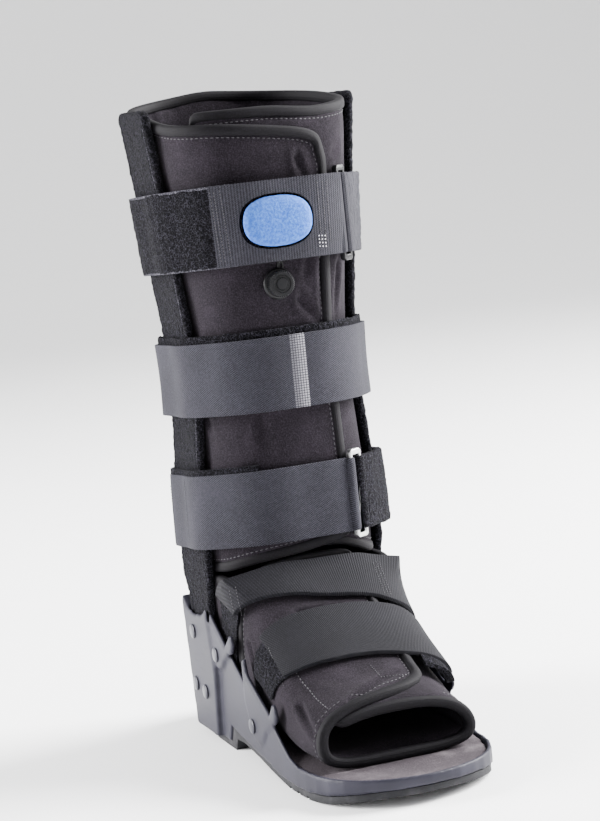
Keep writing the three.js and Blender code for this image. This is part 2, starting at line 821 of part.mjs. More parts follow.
// The blue pump: a flat pillow that rises out of the strap
function makeBulb() {
  const z = bulbCentre.z;
  const back = bandFrontFace(topStrap, bulbCentre.x) - clearance;
  const rows = [[0, 1], [0.35, 1.02], [0.7, 0.93], [0.92, 0.74], [1, 0.45]];
  const count = 20;
  const sections = rows.map(([rise, size]) =>
    Array.from({ length: count }, (_, i) => {
      const angle = (2 * Math.PI * i) / count;
      const [c, s] = [Math.cos(angle), Math.sin(angle)];
      const radius = (Math.abs(c) ** 2.6 + Math.abs(s) ** 2.6) ** (-1 / 2.6);
      const x = bulbCentre.x + (c * radius * size * bulbWidth) / 2;
      return new THREE.Vector3(x, back - rise * bulbRise, z + (s * radius * size * bulbHeight) / 2);
    }),
  );
  return loftSolid(sections);
}

// Foremost y of the top strap's first layer near a given x
function bandFrontFace(strap, x) {
  const z = (strap.low + strap.high) / 2;
  const list = bandRadii(strap.high);
  const lowList = bandRadii(z);
  let front = 0;
  list.forEach((radius, i) => {
    const angle = (2 * Math.PI * i) / bandSegments;
    const reach = Math.max(radius, lowList[i]) + firstLift + strapThickness;
    if (Math.abs(reach * Math.cos(angle) - x) < bulbWidth * 0.75) {
      front = Math.min(front, bandMiddle + reach * Math.sin(angle));
    }
  });
  return front;
}

// The folded-back front panel of the top strap, with the window for the pump
function makeTopPanel() {
  const panel = toManifold(legBand(topStrap, secondLift, strapThickness, panelStart, topRing.from));
  const wide = bulbWidth / 2 + 1.5;
  const tall = bulbHeight / 2 + 1.5;
  const outline = Array.from({ length: 20 }, (_, i) => {
    const angle = (2 * Math.PI * i) / 20;
    const [c, s] = [Math.cos(angle), Math.sin(angle)];
    const radius = (Math.abs(c) ** 2.6 + Math.abs(s) ** 2.6) ** (-1 / 2.6);
    return new THREE.Vector2(bulbCentre.x + c * radius * wide, bulbCentre.z + s * radius * tall);
  });
  const punch = new THREE.ExtrudeGeometry(new THREE.Shape(outline), { depth: legFrontDepth * 2, bevelEnabled: false });
  punch.rotateX(Math.PI / 2);
  return fromManifold(panel.subtract(toManifold(punch)));
}

function makeValve(radius, from, to) {
  const front = legFront(valveHeight + valveRadius) - 2 * clearance;
  const profile = [[0, from], [radius, from], [radius, to - 1], [radius - 1, to], [0, to]];
  const knob = new THREE.LatheGeometry(profile.map(([r, h]) => new THREE.Vector2(r, h)), 18);
  knob.rotateX(Math.PI);
  return knob.translate(valveAcross, front, valveHeight);
}

// Straps over the foot: angle on the foot section, and the back and front edges there, as shares
// of the reach of the toe opening
const instepStrapRows = [
  [152, -0.13, -0.3],
  [142, -0.2, -0.345],
  [136, -0.262, -0.37],
  [128, -0.285, -0.395],
  [120, -0.3, -0.42],
  [95, -0.32, -0.475],
  [75, -0.32, -0.49],
  [50, -0.31, -0.5],
  [35, -0.27, -0.47],
  [22, -0.2, -0.43],
];
const forefootStrapRows = [
  [146, -0.47, -0.68],
  [132, -0.49, -0.715],
  [110, -0.52, -0.745],
  [88, -0.53, -0.755],
  [65, -0.535, -0.77],
  [45, -0.52, -0.76],
  [22, -0.52, -0.74],
  [14, -0.51, -0.72],
];
const tabLift = clearance + 0.1;
const footStrapLift = tabLift + tabThickness + 2 * clearance;
const sideAngle = 46; // nearer than this to level, a strap lies on the flat side of the heel part
const sideReach = 24; // how far in front of the heel part it starts to

function footBand(rows, lift, thickness) {
  const backs = rows.map(([angle, back]) => [-angle, back]);
  const fronts = rows.map(([angle, , front]) => [-angle, front]);
  const [first, last] = [rows[0][0], rows[rows.length - 1][0]];
  const angles = [first];
  const next = Math.floor((first - 1) / footStep) * footStep;
  for (let angle = next; angle > last + 1; angle -= footStep) angles.push(angle);
  angles.push(last);
  const grid = (extra) =>
    angles.map((angle) => {
      const back = readTable(backs, -angle);
      const front = readTable(fronts, -angle);
      return [0, 0.25, 0.5, 0.75, 1].map((share) => {
        const y = toeOpening * (back + (front - back) * share);
        const spot = footPoint(angle, y, -(lift + extra));
        const level = Math.min(Math.abs(angle), Math.abs(180 - angle));
        if (y > -vampRear - sideReach && level < sideAngle) {
          const blend = Math.min(1, (y + vampRear + sideReach) / (sideReach - 4));
          const pushed = Math.max(Math.abs(spot.x), legHalfWidth(spot.z) + lift + extra);
          spot.x += Math.sign(spot.x) * blend * (pushed - Math.abs(spot.x));
        }
        return spot;
      });
    });
  return wallSolid(grid(thickness), grid(0), false);
}

// Short pile tabs that come up out of the hook plates and hold the ends of the foot straps
const rearTabRows = [
  [186, -0.08, -0.22],
  [172, -0.08, -0.24],
  [160, -0.09, -0.27],
  [146, -0.14, -0.31],
];
const frontTabRows = [
  [178, -0.41, -0.6],
  [162, -0.43, -0.63],
  [150, -0.46, -0.66],
  [138, -0.49, -0.69],
];

function mirrored(rows) {
  return [...rows].reverse().map(([angle, back, front]) => [180 - angle, back, front]);
}

addPiece("shell", makeShell(), "shell");
addPiece("outsole", makeOutsole(), "rubber");
addPiece("footbed", makeFootbed(), "footbed");
for (const [sideName, side] of [["lateral", -1], ["medial", 1]]) {
  addPiece(`upright_${sideName}`, makeUpright(side), "loopPile");
  for (const [name, y, z, face] of rivetRows) {
    const rivet = addPiece(`rivet_${name}_${sideName}`, makeRivet(), "shell");
    rivet.rotation.z = side < 0 ? Math.PI / 2 : -Math.PI / 2;
    rivet.position.set(side * (face + clearance / 2), (y * toeReach) / hookReach, (z * housingTop) / hookRise);
  }
}
addPiece("liner_leg", makeLegLiner(), "liner");
addPiece("liner_heel", makeHeelLiner(), "liner");
addPiece("liner_foot", makeFootLiner(), "liner");
addPiece("strap_top", legBand(topStrap, firstLift, strapThickness, topRing.to - 360, topRing.from), "loopPile");
addPiece("strap_top_panel", makeTopPanel(), "webbing");
addPiece("pump_bulb", makeBulb(), "bulb");
addPiece("ring_top", makeRing(topRing, topStrap, firstLift), "blackPlastic");
const middlePad = { ...middleStrap, high: middleStrap.high + middlePadRise };
addPiece("strap_middle_pad", legBand(middlePad, firstLift, middlePadThickness), "loopPile");
addPiece("strap_middle", legBand(middleStrap, firstLift + middlePadThickness + clearance, strapThickness), "webbing");
addPiece("strap_ankle", legBand(ankleStrap, firstLift, strapThickness, 12, ankleRing.from), "webbing");
addPiece("ring_ankle", makeRing(ankleRing, ankleStrap, firstLift), "steel");
addPiece("strap_ankle_tab", legBand(ankleStrap, firstLift, 5, ankleRing.to - 360, 11), "loopPile");
addPiece("valve_base", makeValve(valveRadius + 1.5, 0, 2), "blackPlastic");
addPiece("valve_cap", makeValve(valveRadius, 2 + clearance / 2, valveLength), "blackPlastic");
addPiece("strap_instep", footBand(instepStrapRows, footStrapLift, strapThickness), "footWebbing");
addPiece("strap_forefoot", footBand(forefootStrapRows, footStrapLift, strapThickness), "footWebbing");
addPiece("tab_rear_lateral", footBand(rearTabRows, tabLift, tabThickness), "loopPile");
addPiece("tab_front_lateral", footBand(frontTabRows, tabLift, tabThickness), "loopPile");
addPiece("tab_rear_medial", footBand(mirrored(rearTabRows), tabLift, tabThickness), "loopPile");
addPiece("tab_front_medial", footBand(mirrored(frontTabRows), tabLift, tabThickness), "loopPile");

export default boot;
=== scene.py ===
# %% [markdown]
# # A medical walking boot
# The boot has a moulded sole shell, two upright stays in pile covers, a foam liner in three parts,
# three leg straps, two foot straps and an air pump. The solid model of the boot is already packed as a
# frame. This lesson dresses it: every soft part is made again with rounded edges and a cloth finish,
# and the hard parts get moulded, rubber or metal finishes.

# %% Load the frame
import math

import bmesh
import bpy
import numpy as np
from mathutils import Matrix, Vector, noise
from mathutils.bvhtree import BVHTree


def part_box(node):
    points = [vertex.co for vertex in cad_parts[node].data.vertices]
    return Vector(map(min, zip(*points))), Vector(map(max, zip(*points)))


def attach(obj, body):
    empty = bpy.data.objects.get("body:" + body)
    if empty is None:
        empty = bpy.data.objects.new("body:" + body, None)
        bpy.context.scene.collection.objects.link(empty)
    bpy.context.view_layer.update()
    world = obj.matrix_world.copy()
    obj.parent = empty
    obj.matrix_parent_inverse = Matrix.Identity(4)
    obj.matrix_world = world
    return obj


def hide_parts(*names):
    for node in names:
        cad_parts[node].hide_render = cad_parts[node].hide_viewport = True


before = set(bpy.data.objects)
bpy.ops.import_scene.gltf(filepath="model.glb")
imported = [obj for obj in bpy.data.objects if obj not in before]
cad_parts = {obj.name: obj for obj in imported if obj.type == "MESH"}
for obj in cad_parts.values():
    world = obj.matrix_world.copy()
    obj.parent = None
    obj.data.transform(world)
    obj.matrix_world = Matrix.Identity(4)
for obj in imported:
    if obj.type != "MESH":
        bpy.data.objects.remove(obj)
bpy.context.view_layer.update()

MM = 0.001
scene = bpy.context.scene
print("nodes in the frame:", len(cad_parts))

# %% [markdown]
# ## The camera
# The boot was photographed from in front, a little from its outer side and from above, with the camera
# turned about its own axis. The camera looks along minus its own back direction, so its matrix can be
# written from three angles.

# %% Camera
CAMERA_PLACE = Vector((-485.1, -1398.1, 395.1)) * MM
CAMERA_AZIMUTH, CAMERA_HEIGHT, CAMERA_ROLL = (math.radians(a) for a in (-19.82, 7.2, 5.99))
FOCAL_PIXELS = 2312
IMAGE_WIDTH, IMAGE_HEIGHT = 600, 821
SENSOR = 36


def camera_axes(azimuth, height, roll):
    back = Vector((math.sin(azimuth) * math.cos(height), -math.cos(azimuth) * math.cos(height),
                   math.sin(height)))
    level_right = Vector((math.cos(azimuth), math.sin(azimuth), 0))
    level_up = back.cross(level_right)
    right = level_right * math.cos(roll) - level_up * math.sin(roll)
    up = level_right * math.sin(roll) + level_up * math.cos(roll)
    return Matrix((right, up, back)).transposed()


camera_data = bpy.data.cameras.new("camera")
camera_data.sensor_width = SENSOR
camera_data.lens = FOCAL_PIXELS / IMAGE_HEIGHT * SENSOR
camera = bpy.data.objects.new("camera", camera_data)
camera.matrix_world = Matrix.Translation(CAMERA_PLACE) @ camera_axes(
    CAMERA_AZIMUTH, CAMERA_HEIGHT, CAMERA_ROLL).to_4x4()
scene.collection.objects.link(camera)
scene.camera = camera
print("lens in mm:", round(camera_data.lens, 1))

# %% [markdown]
# ## Shader maths in plain Python
# A finish is easier to read as sums than as a picture of nodes. This class wraps one socket, so that
# `1 - mask` or `height * 0.5 + grain` adds the Math nodes by itself. Every other node comes from
# `Finish.node`, which sets the node up first and then links its inputs.


# %% Wire and Finish
class Wire:
    def __init__(self, finish, socket):
        self.finish = finish
        self.socket = socket

    def math(self, operation, *others, flip=False):
        inputs = [self, *others]
        if flip:
            inputs.reverse()
        return self.finish.node("Math", {"operation": operation}, inputs)

    def __add__(self, other):
        return self.math("ADD", other)

    def __sub__(self, other):
        return self.math("SUBTRACT", other)

    def __mul__(self, other):
        return self.math("MULTIPLY", other)

    def __truediv__(self, other):
        return self.math("DIVIDE", other)

    def __rsub__(self, other):
        return self.math("SUBTRACT", other, flip=True)

    def __abs__(self):
        return self.math("ABSOLUTE")

    __radd__ = __add__

    def sine(self):
        return self.math("SINE")

    def fraction(self):
        return self.math("FRACT")

    def under(self, limit):
        return self.math("LESS_THAN", limit)

    def over(self, limit):
        return self.math("GREATER_THAN", limit)

    def ramp(self, low, high, start=0.0, end=1.0):
        """A smooth step from start to end while the value goes from low to high"""
        settings = {"interpolation_type": "SMOOTHSTEP"}
        return self.finish.node("MapRange", settings, [self, low, high, start, end])


class Finish:
    """A material with a Principled shader and the nodes that feed it"""

    def __init__(self, name, color, roughness, **constants):
        self.material = bpy.data.materials.new(name)
        self.material.use_nodes = True
        self.tree = self.material.node_tree
        self.shader = self.tree.nodes["Principled BSDF"]
        self.material.diffuse_color = (*color, 1)
        self.feed("Base Color", (*color, 1))
        self.feed("Roughness", roughness)
        for name, value in constants.items():
            self.feed(name.replace("_", " ").title().replace("Ior", "IOR"), value)

    def feed(self, name, value):
        socket = self.shader.inputs[name]
        if isinstance(value, Wire):
            self.tree.links.new(value.socket, socket)
        else:
            socket.default_value = value

    def node(self, kind, settings=None, inputs=(), output=0):
        node = self.tree.nodes.new("ShaderNode" + kind)
        for name, value in (settings or {}).items():
            setattr(node, name, value)
        pairs = inputs.items() if isinstance(inputs, dict) else enumerate(inputs)
        for name, value in pairs:
            if isinstance(value, Wire):
                self.tree.links.new(value.socket, node.inputs[name])
            elif value is not None:
                node.inputs[name].default_value = value
        return Wire(self, node.outputs[output])

    def place(self):
        """Object coordinates: in metres, in the boot's own frame"""
        return self.node("TexCoord", output="Object")

    def along_cloth(self):
        """The cloth's own coordinates in metres: along the band and across it"""
        flat = self.node("UVMap", {"uv_map": "cloth"}, output="UV")
        along = self.node("SeparateXYZ", {}, [flat])
        return along, Wire(self, along.socket.node.outputs[1])

    def noise(self, size, detail=2.0, roughness=0.5, squash=None):
        where = self.place()
        if squash:
            where = self.node("Mapping", {}, {"Vector": where, "Scale": squash})
        inputs = {"Vector": where, "Scale": 1 / size, "Detail": detail, "Roughness": roughness}
        return self.node("TexNoise", {}, inputs, output="Fac")

    def cells(self, size, feature="F1", where=None):
        inputs = {"Vector": where or self.place(), "Scale": 1 / size}
        return self.node("TexVoronoi", {"feature": feature}, inputs, output="Distance")

    def mix(self, share, first, second):
        settings = {"data_type": "RGBA"}
        first, second = ((*c, 1) if isinstance(c, tuple) and len(c) == 3 else c for c in (first, second))
        return self.node("Mix", settings, {0: share, 6: first, 7: second}, output=2)

    def bump(self, height, depth, strength=1.0):
        wired = self.node("Bump", {}, {"Strength": strength, "Distance": depth, "Height": height})
        self.feed("Normal", wired)


def from_screen(red, green, blue):
    """A colour read from a screen (0 to 255) as the linear values that a shader needs"""
    def one(value):
        value /= 255
        return value / 12.92 if value <= 0.04045 else ((value + 0.055) / 1.055) ** 2.4

    return one(red), one(green), one(blue)


print("shader helpers ready")

# %% [markdown]
# ## Hard finishes
# The shell is injection moulded: an even charcoal with a fine satin grain and faint scuffs. The rivets
# are the same plastic. The outsole is matt rubber. The steel ring is plated wire with fine draw lines.
# All sizes in the finishes are in metres, and a noise's second value is its number of octaves.


# %% Moulded plastic
GRAIN = 0.35 * MM
SCUFF = 0.04


def moulded_finish(name, color, roughness):
    finish = Finish(name, color, roughness, specular_ior_level=0.15)
    clouds = finish.noise(0.03, 3)
    scratches = finish.noise(0.006, 4, 0.7, squash=(1, 0.15, 1))
    lighter = tuple(min(1, c * 1.35 + 0.004) for c in color)
    finish.feed("Base Color", finish.mix(clouds.ramp(0.35, 0.75), color, lighter))
    finish.feed("Roughness", roughness + (clouds - 0.5) * 0.16 + scratches.ramp(0.6, 0.75) * SCUFF)
    finish.bump(finish.noise(GRAIN * 2, 2), GRAIN * 0.35, 0.5)
    return finish.material


shell_plastic = moulded_finish("shell_plastic", from_screen(30, 29, 38), 0.5)
rivet_plastic = moulded_finish("rivet_plastic", from_screen(46, 46, 53), 0.32)
black_plastic = moulded_finish("black_plastic", from_screen(12, 12, 14), 0.3)


# %% Rubber, foam and steel
def rubber_finish():
    finish = Finish("sole_rubber", from_screen(24, 24, 27), 0.75, specular_ior_level=0.25)
    dust = finish.noise(0.012, 4, 0.6)
    clean, dusty = from_screen(22, 22, 25), from_screen(46, 45, 48)
    finish.feed("Base Color", finish.mix(dust.ramp(0.45, 0.75), clean, dusty))
    finish.feed("Roughness", 0.7 + dust * 0.2)
    finish.bump(finish.noise(0.0008, 3) + finish.cells(0.002) * 0.5, 0.0003, 0.6)
    return finish.material


def footbed_finish():
    finish = Finish("footbed_foam", from_screen(30, 27, 28), 0.95, specular_ior_level=0.12)
    wear = finish.noise(0.03, 4, 0.6)
    fibre = finish.noise(0.0012, 3, 0.7)
    dark, worn = from_screen(52, 47, 51), from_screen(106, 99, 103)
    share = wear.ramp(0.5, 0.8) * 0.6 + fibre.ramp(0.5, 0.8) * 0.35
    finish.feed("Base Color", finish.mix(share, dark, worn))
    finish.bump(fibre + wear * 0.6, 0.0006, 0.7)
    return finish.material


def steel_finish():
    finish = Finish("ring_steel", (0.5, 0.5, 0.51), 0.34, metallic=1.0)
    lines = finish.noise(0.0008, 3, squash=(1, 1, 0.05))
    finish.feed("Roughness", 0.28 + lines * 0.2)
    finish.feed("Base Color", finish.mix(lines.ramp(0.3, 0.8), (0.34, 0.34, 0.35), (0.58, 0.58, 0.58)))
    finish.bump(lines, 0.00008, 0.4)
    return finish.material


sole_rubber = rubber_finish()
footbed_foam = footbed_finish()
ring_steel = steel_finish()

# %% [markdown]
# ## Cloth finishes
# Five cloths cover the boot. The liner is foam with a brushed knit face: almost black, with lighter
# fibre ends. The pile is a field of curly loops, so its colour and its bump come from the same noise.
# The binding is a smooth tape. The leg straps are a plain weave, with some ribs in the panel round the
# pump, and the foot straps are mostly ribs across their length. Weaves read the band's own map in
# metres, so the threads keep their real size round every curve.


# %% Knit, pile and binding
def brushed_finish(name, dark, light):
    finish = Finish(name, dark, 0.95, specular_ior_level=0.06, sheen_weight=0.008, sheen_roughness=0.6)
    fibre = finish.noise(0.0008, 3, 0.7)
    patches = finish.noise(0.02, 3)
    share = fibre.ramp(0.35, 0.85) * 0.7 + patches.ramp(0.4, 0.8) * 0.15
    finish.feed("Base Color", finish.mix(share, dark, light))
    finish.bump(fibre + finish.noise(0.0035, 2) * 0.6, 0.0004, 0.6)
    return finish.material


def pile_finish(name, dark, light):
    finish = Finish(name, dark, 1.0, specular_ior_level=0.06, sheen_weight=0.012, sheen_roughness=0.5)
    where = finish.place()
    curls = finish.noise(0.0019, 3, 0.7)
    cloud = finish.node("TexNoise", {}, {"Vector": where, "Scale": 700.0, "Detail": 2.0}, output="Color")
    wander = finish.node("VectorMath", {"operation": "SCALE"}, {0: cloud, "Scale": 0.0022})
    bent = finish.node("VectorMath", {"operation": "ADD"}, {0: where, 1: wander})
    threads = finish.cells(0.0016, "DISTANCE_TO_EDGE", bent)
    tips = 1 - threads.ramp(0.0, 0.16)
    share = tips * curls.ramp(0.35, 0.65)
    finish.feed("Base Color", finish.mix(share, dark, light))
    finish.bump(share + curls, 0.0009, 0.9)
    return finish.material


TAPE_RIB = 0.9 * MM


def binding_finish():
    finish = Finish("binding_tape", from_screen(20, 18, 22), 0.7, specular_ior_level=0.1)
    across = finish.along_cloth()[1]
    ribs = (across * (2 * math.pi / TAPE_RIB)).sine() * 0.5 + 0.5
    fine = finish.noise(0.001, 2)
    dark, light = from_screen(8, 7, 9), from_screen(24, 22, 27)
    finish.feed("Base Color", finish.mix(fine.ramp(0.3, 0.8) * 0.6, dark, light))
    finish.feed("Roughness", 0.62 + fine * 0.25)
    finish.bump(ribs * 0.5 + fine, 0.00015, 0.6)
    return finish.material


liner_fabric = brushed_finish("liner_fabric", from_screen(15, 13, 16), from_screen(52, 46, 54))
loop_pile = pile_finish("loop_pile", from_screen(5, 5, 7), from_screen(47, 45, 54))
pile_edge = pile_finish("pile_edge", from_screen(40, 39, 45), from_screen(120, 118, 128))
binding_tape = binding_finish()


# %% Webbing
def webbing_finish(name, dark, light, warp, weft, ribs=0.0, dots=None):
    """A weave with its threads warp and weft metres apart. ribs mixes in lines across the band"""
    finish = Finish(name, dark, 0.8, specular_ior_level=0.11, sheen_weight=0.008, sheen_roughness=0.4)
    u, v = finish.along_cloth()
    turn = 2 * math.pi
    over = (u * (turn / warp)).sine()
    under = (v * (turn / weft)).sine()
    plain = over * under * 0.5 + 0.5
    lines = over * 0.5 + 0.5
    height = plain * (1 - ribs) + lines * ribs
    fuzz = finish.noise(0.0012, 3, 0.7)
    broad = finish.noise(0.03, 2)
    share = height * 0.62 + fuzz.ramp(0.3, 0.8) * 0.3 + (broad - 0.5) * 0.25
    color = finish.mix(share.ramp(0.0, 1.0), dark, light)
    if dots:
        color = dotted_band(finish, color, u, v, *dots)
    finish.feed("Base Color", color)
    finish.bump(height + fuzz * 0.4, 0.00035, 0.8)
    return finish.material


def dotted_band(finish, color, u, v, start, end, low, high, pitch):
    """White thread ends in rows and columns, brightest along the far edge of the band"""
    inside = u.over(start) * u.under(end) * v.over(low) * v.under(high)
    across = ((u - start) / pitch).fraction()
    up = (v / pitch).fraction()
    near = (abs(across - 0.5)).ramp(0.42, 0.3) * (abs(up - 0.5)).ramp(0.42, 0.3)
    bright = ((u - start) / (end - start)).ramp(0.1, 0.9, 0.3, 1.0)
    return finish.mix(inside * near * bright * 0.7, color, from_screen(165, 163, 171))


# %% [markdown]
# ## Copies of the solids
# The frame's meshes are loose triangles. A copy is merged, and its triangles are joined in pairs, which
# gives back the even quads that subdivision needs. The copy then stands for the solid, which stays
# hidden.


# %% Copy helpers
def cad_copy(node):
    bm = bmesh.new()
    bm.from_mesh(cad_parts[node].data)
    bmesh.ops.remove_doubles(bm, verts=bm.verts, dist=2e-6)
    for layer in list(bm.loops.layers.uv):
        bm.loops.layers.uv.remove(layer)
    return bm


QUAD_BEND = math.radians(50)
QUAD_SKEW = math.radians(80)


def quads(bm):
    bmesh.ops.join_triangles(
        bm, faces=bm.faces, angle_face_threshold=QUAD_BEND, angle_shape_threshold=QUAD_SKEW,
        cmp_seam=False, cmp_sharp=False, cmp_uvs=False, cmp_vcols=False, cmp_materials=False)
    return bm


def new_object(name, bm, material):
    mesh = bpy.data.meshes.new(name)
    bm.to_mesh(mesh)
    bm.free()
    mesh.materials.append(material)
    obj = bpy.data.objects.new(name, mesh)
    scene.collection.objects.link(obj)
    return obj


def modifier(obj, kind, **settings):
    added = obj.modifiers.new(kind.lower(), kind)
    for name, value in settings.items():
        setattr(added, name, value)
    return added


def apply_modifiers(obj):
    view = bpy.context.evaluated_depsgraph_get()
    mesh = bpy.data.meshes.new_from_object(obj.evaluated_get(view), depsgraph=view)
    obj.modifiers.clear()
    old = obj.data
    obj.data = mesh
    bpy.data.meshes.remove(old)
    return obj


def subdivide(obj, levels):
    modifier(obj, "SUBSURF", levels=levels, render_levels=levels)
    return apply_modifiers(obj)


def points_of(obj):
    flat = np.zeros(len(obj.data.vertices) * 3)
    obj.data.vertices.foreach_get("co", flat)
    return flat.reshape(-1, 3)


def normals_of(obj):
    return np.array([n.vector for n in obj.data.vertex_normals])


def set_points(obj, points):
    obj.data.vertices.foreach_set("co", points.ravel())
    obj.data.update()


def rough(points, *sizes):
    """Noise at each point, added up over sizes, each a pair of height and waves per metre"""
    return np.array([sum(height * noise.noise(Vector(p) * waves) for height, waves in sizes)
                     for p in points])


def place_piece(obj, replaced=(), smooth=180):
    obj.data.shade_smooth()
    if smooth < 180:
        obj.data.set_sharp_from_angle(angle=math.radians(smooth))
    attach(obj, "root")
    if replaced:
        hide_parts(*replaced)
    return obj


print("copy helpers ready")

# %% [markdown]
# ## A map for every band
# Leg bands are unrolled round the leg's axis and foot bands round the foot's. The map is kept in metres,
# so a weave or a row of stitches can be drawn at its real size.

# %% Cloth maps
LEG_AXIS_Y = 8 * MM
LEG_RADIUS = 62 * MM
FOOT_AXIS_Z = 42 * MM
FOOT_RADIUS = 54 * MM


def cloth_map(obj, kind):
    mesh = obj.data
    points = points_of(obj)
    if kind == "leg":
        angle = np.arctan2(points[:, 0], -(points[:, 1] - LEG_AXIS_Y))
        across, radius = points[:, 2], LEG_RADIUS
    else:
        angle = np.arctan2(points[:, 0], points[:, 2] - FOOT_AXIS_Z)
        across, radius = points[:, 1], FOOT_RADIUS
    corner = np.zeros(len(mesh.loops), int)
    mesh.loops.foreach_get("vertex_index", corner)
    starts = np.zeros(len(mesh.polygons), int)
    mesh.polygons.foreach_get("loop_start", starts)
    turns = angle[corner]
    first = np.repeat(turns[starts], np.diff(np.append(starts, len(corner))))
    turns = turns + np.where(turns - first > math.pi, -2 * math.pi, 0)
    turns = turns + np.where(turns - first < -math.pi, 2 * math.pi, 0)
    flat = np.stack([turns * radius, across[corner]], 1)
    layer = mesh.uv_layers.new(name="cloth")
    layer.data.foreach_set("uv", flat.astype(np.float32).ravel())


# %% [markdown]
# ## Sole shell, rivets and rings
# The moulded shell has no sharp corner anywhere. A voxel remesh of the solid followed by a light
# smoothing rounds every edge by about a millimetre and fills the inside corners, as a mould does. The
# rivets are subdivided into smooth domes. The outsole and the rings keep their shape and only get a
# fine bevel.

# %% Moulded pieces
SHELL_VOXEL = 1.3 * MM
FOOTBED_VOXEL = 1.2 * MM


def remeshed(name, node, material, voxel, passes):
    """A copy of the solid in even faces of the voxel's size, with every edge rounded by the passes"""
    obj = new_object(name, cad_copy(node), material)
    modifier(obj, "REMESH", mode="VOXEL", voxel_size=voxel)
    modifier(obj, "SMOOTH", factor=0.5, iterations=passes)
    return apply_modifiers(obj)


def bevel_sharp(bm, angle, width, segments=2):
    sharp = [e for e in bm.edges if e.is_manifold and e.calc_face_angle() > math.radians(angle)]
    bmesh.ops.bevel(bm, geom=sharp, offset=width, offset_type="OFFSET", affect="EDGES", segments=segments,
                    profile=0.5, material=-1, clamp_overlap=True)


def bevelled_piece(node, material, width, smooth=35, segments=2):
    bm = cad_copy(node)
    bmesh.ops.dissolve_limit(bm, angle_limit=math.radians(1), verts=bm.verts, edges=bm.edges)
    bevel_sharp(bm, 30, width, segments)
    bmesh.ops.triangulate(bm, faces=[f for f in bm.faces if len(f.verts) > 4])
    obj = new_object(node + "_dressed", bm, material)
    return place_piece(obj, (node,), smooth)


shell = remeshed("shell_moulded", "shell", shell_plastic, SHELL_VOXEL, 4)
place_piece(shell, ("shell",))
bevelled_piece("outsole", sole_rubber, 0.6 * MM)
for side in ("lateral", "medial"):
    for spot in ("pocket_upper", "pocket_rear", "pocket_front", "hook_rear", "hook_front"):
        bm = quads(cad_copy(f"rivet_{spot}_{side}"))
        rivet = subdivide(new_object(f"rivet_{spot}_{side}_dressed", bm, rivet_plastic), 2)
        place_piece(rivet, (f"rivet_{spot}_{side}",), 50)
bevelled_piece("ring_ankle", ring_steel, 1.3 * MM, smooth=60, segments=4)
bevelled_piece("ring_top", black_plastic, 1.2 * MM, smooth=60, segments=4)
print("shell faces:", len(shell.data.polygons))


# %% Footbed
def make_footbed():
    obj = remeshed("footbed_dressed", "footbed", footbed_foam, FOOTBED_VOXEL, 3)
    points = points_of(obj)
    points[:, 2] += rough(points, (0.35 * MM, 60), (0.12 * MM, 500))
    set_points(obj, points)
    return place_piece(obj, ("footbed",))


footbed = make_footbed()
print("footbed faces:", len(footbed.data.polygons))

# %% [markdown]
# ## Pile pieces
# Upright covers, strap tabs and pads are faced with curly loop pile. Their copies are remeshed finely,
# and each point is pushed out by two sizes of noise, so that the silhouette is woolly too. The material
# adds the finest curls.


# %% Pile pieces
HEM_REACH = 5.5 * MM
HEM_WIDTH = 0.8 * MM
HEM_DEPTH = 0.8 * MM
COVER_BACK_Y = 36 * MM
TUFT = 0.5 * MM
PADDED_PILE = ("upright_lateral", "upright_medial", "strap_middle_pad", "strap_ankle_tab")


def hem_groove(points, node):
    """How deep the stitched hems along the two upright edges of a cover pull the pile in"""
    low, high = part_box(node)
    depth = np.zeros(len(points))
    for line in (low.y + HEM_REACH, COVER_BACK_Y - HEM_REACH):
        depth += np.exp(-((points[:, 1] - line) / HEM_WIDTH) ** 2)
    return depth * HEM_DEPTH


def pile_piece(node, voxel):
    obj = remeshed(node + "_dressed", node, loop_pile, voxel, 2)
    points = points_of(obj)
    push = rough(points, (1.0, 420), (0.6, 130)) * TUFT
    if node.startswith("upright"):
        push -= hem_groove(points, node)
    set_points(obj, points + normals_of(obj) * push[:, None])
    node in PADDED_PILE
    return place_piece(obj, (node,))


pile = {}
for node, voxel in (
    ("upright_lateral", 1.1), ("upright_medial", 1.2), ("strap_top", 1.1), ("strap_middle_pad", 1.1),
    ("strap_ankle_tab", 0.9), ("tab_rear_lateral", 0.7), ("tab_front_lateral", 0.7),
    ("tab_rear_medial", 0.8), ("tab_front_medial", 0.8),
):
    pile[node] = pile_piece(node, voxel * MM)
    print(node, "faces:", len(pile[node].data.polygons))

# %% [markdown]
# ## Webbing straps
# A strap is a flat band, so its copy only needs soft edges and more points. Subdivision rounds the
# facets of the solid, and a fine bevel keeps the cut edges crisp. The dots of the middle strap are a
# patch of its map: from and to along the band, low and high, and the distance between dots.

# %% Straps
leg_webbing = webbing_finish(
    "leg_webbing", from_screen(12, 12, 15), from_screen(57, 56, 65), warp=0.0017, weft=0.0013,
    dots=(-0.004, 0.0055, 0.215, 0.3, 0.0016))
panel_webbing = webbing_finish(
    "panel_webbing", from_screen(12, 12, 15), from_screen(58, 57, 65), warp=0.0015, weft=0.0012, ribs=0.4)
foot_webbing = webbing_finish(
    "foot_webbing", from_screen(5, 5, 7), from_screen(26, 25, 31), warp=0.0011, weft=0.0014, ribs=0.6)


def strap_piece(node, material, kind):
    bm = quads(cad_copy(node))
    bevel_sharp(bm, 50, 0.45 * MM)
    obj = subdivide(new_object(node + "_dressed", bm, material), 2)
    cloth_map(obj, kind)
    return place_piece(obj, (node,))


RING_SIDE_X = 22 * MM
BARE_BACK_Y = 12 * MM


def bare_webbing(obj):
    """The top strap has no pile where it runs back from the ring on the inner side"""
    cloth_map(obj, "leg")
    obj.data.materials.append(panel_webbing)
    for face in obj.data.polygons:
        if face.center.x > RING_SIDE_X and face.center.y < BARE_BACK_Y:
            face.material_index = 1


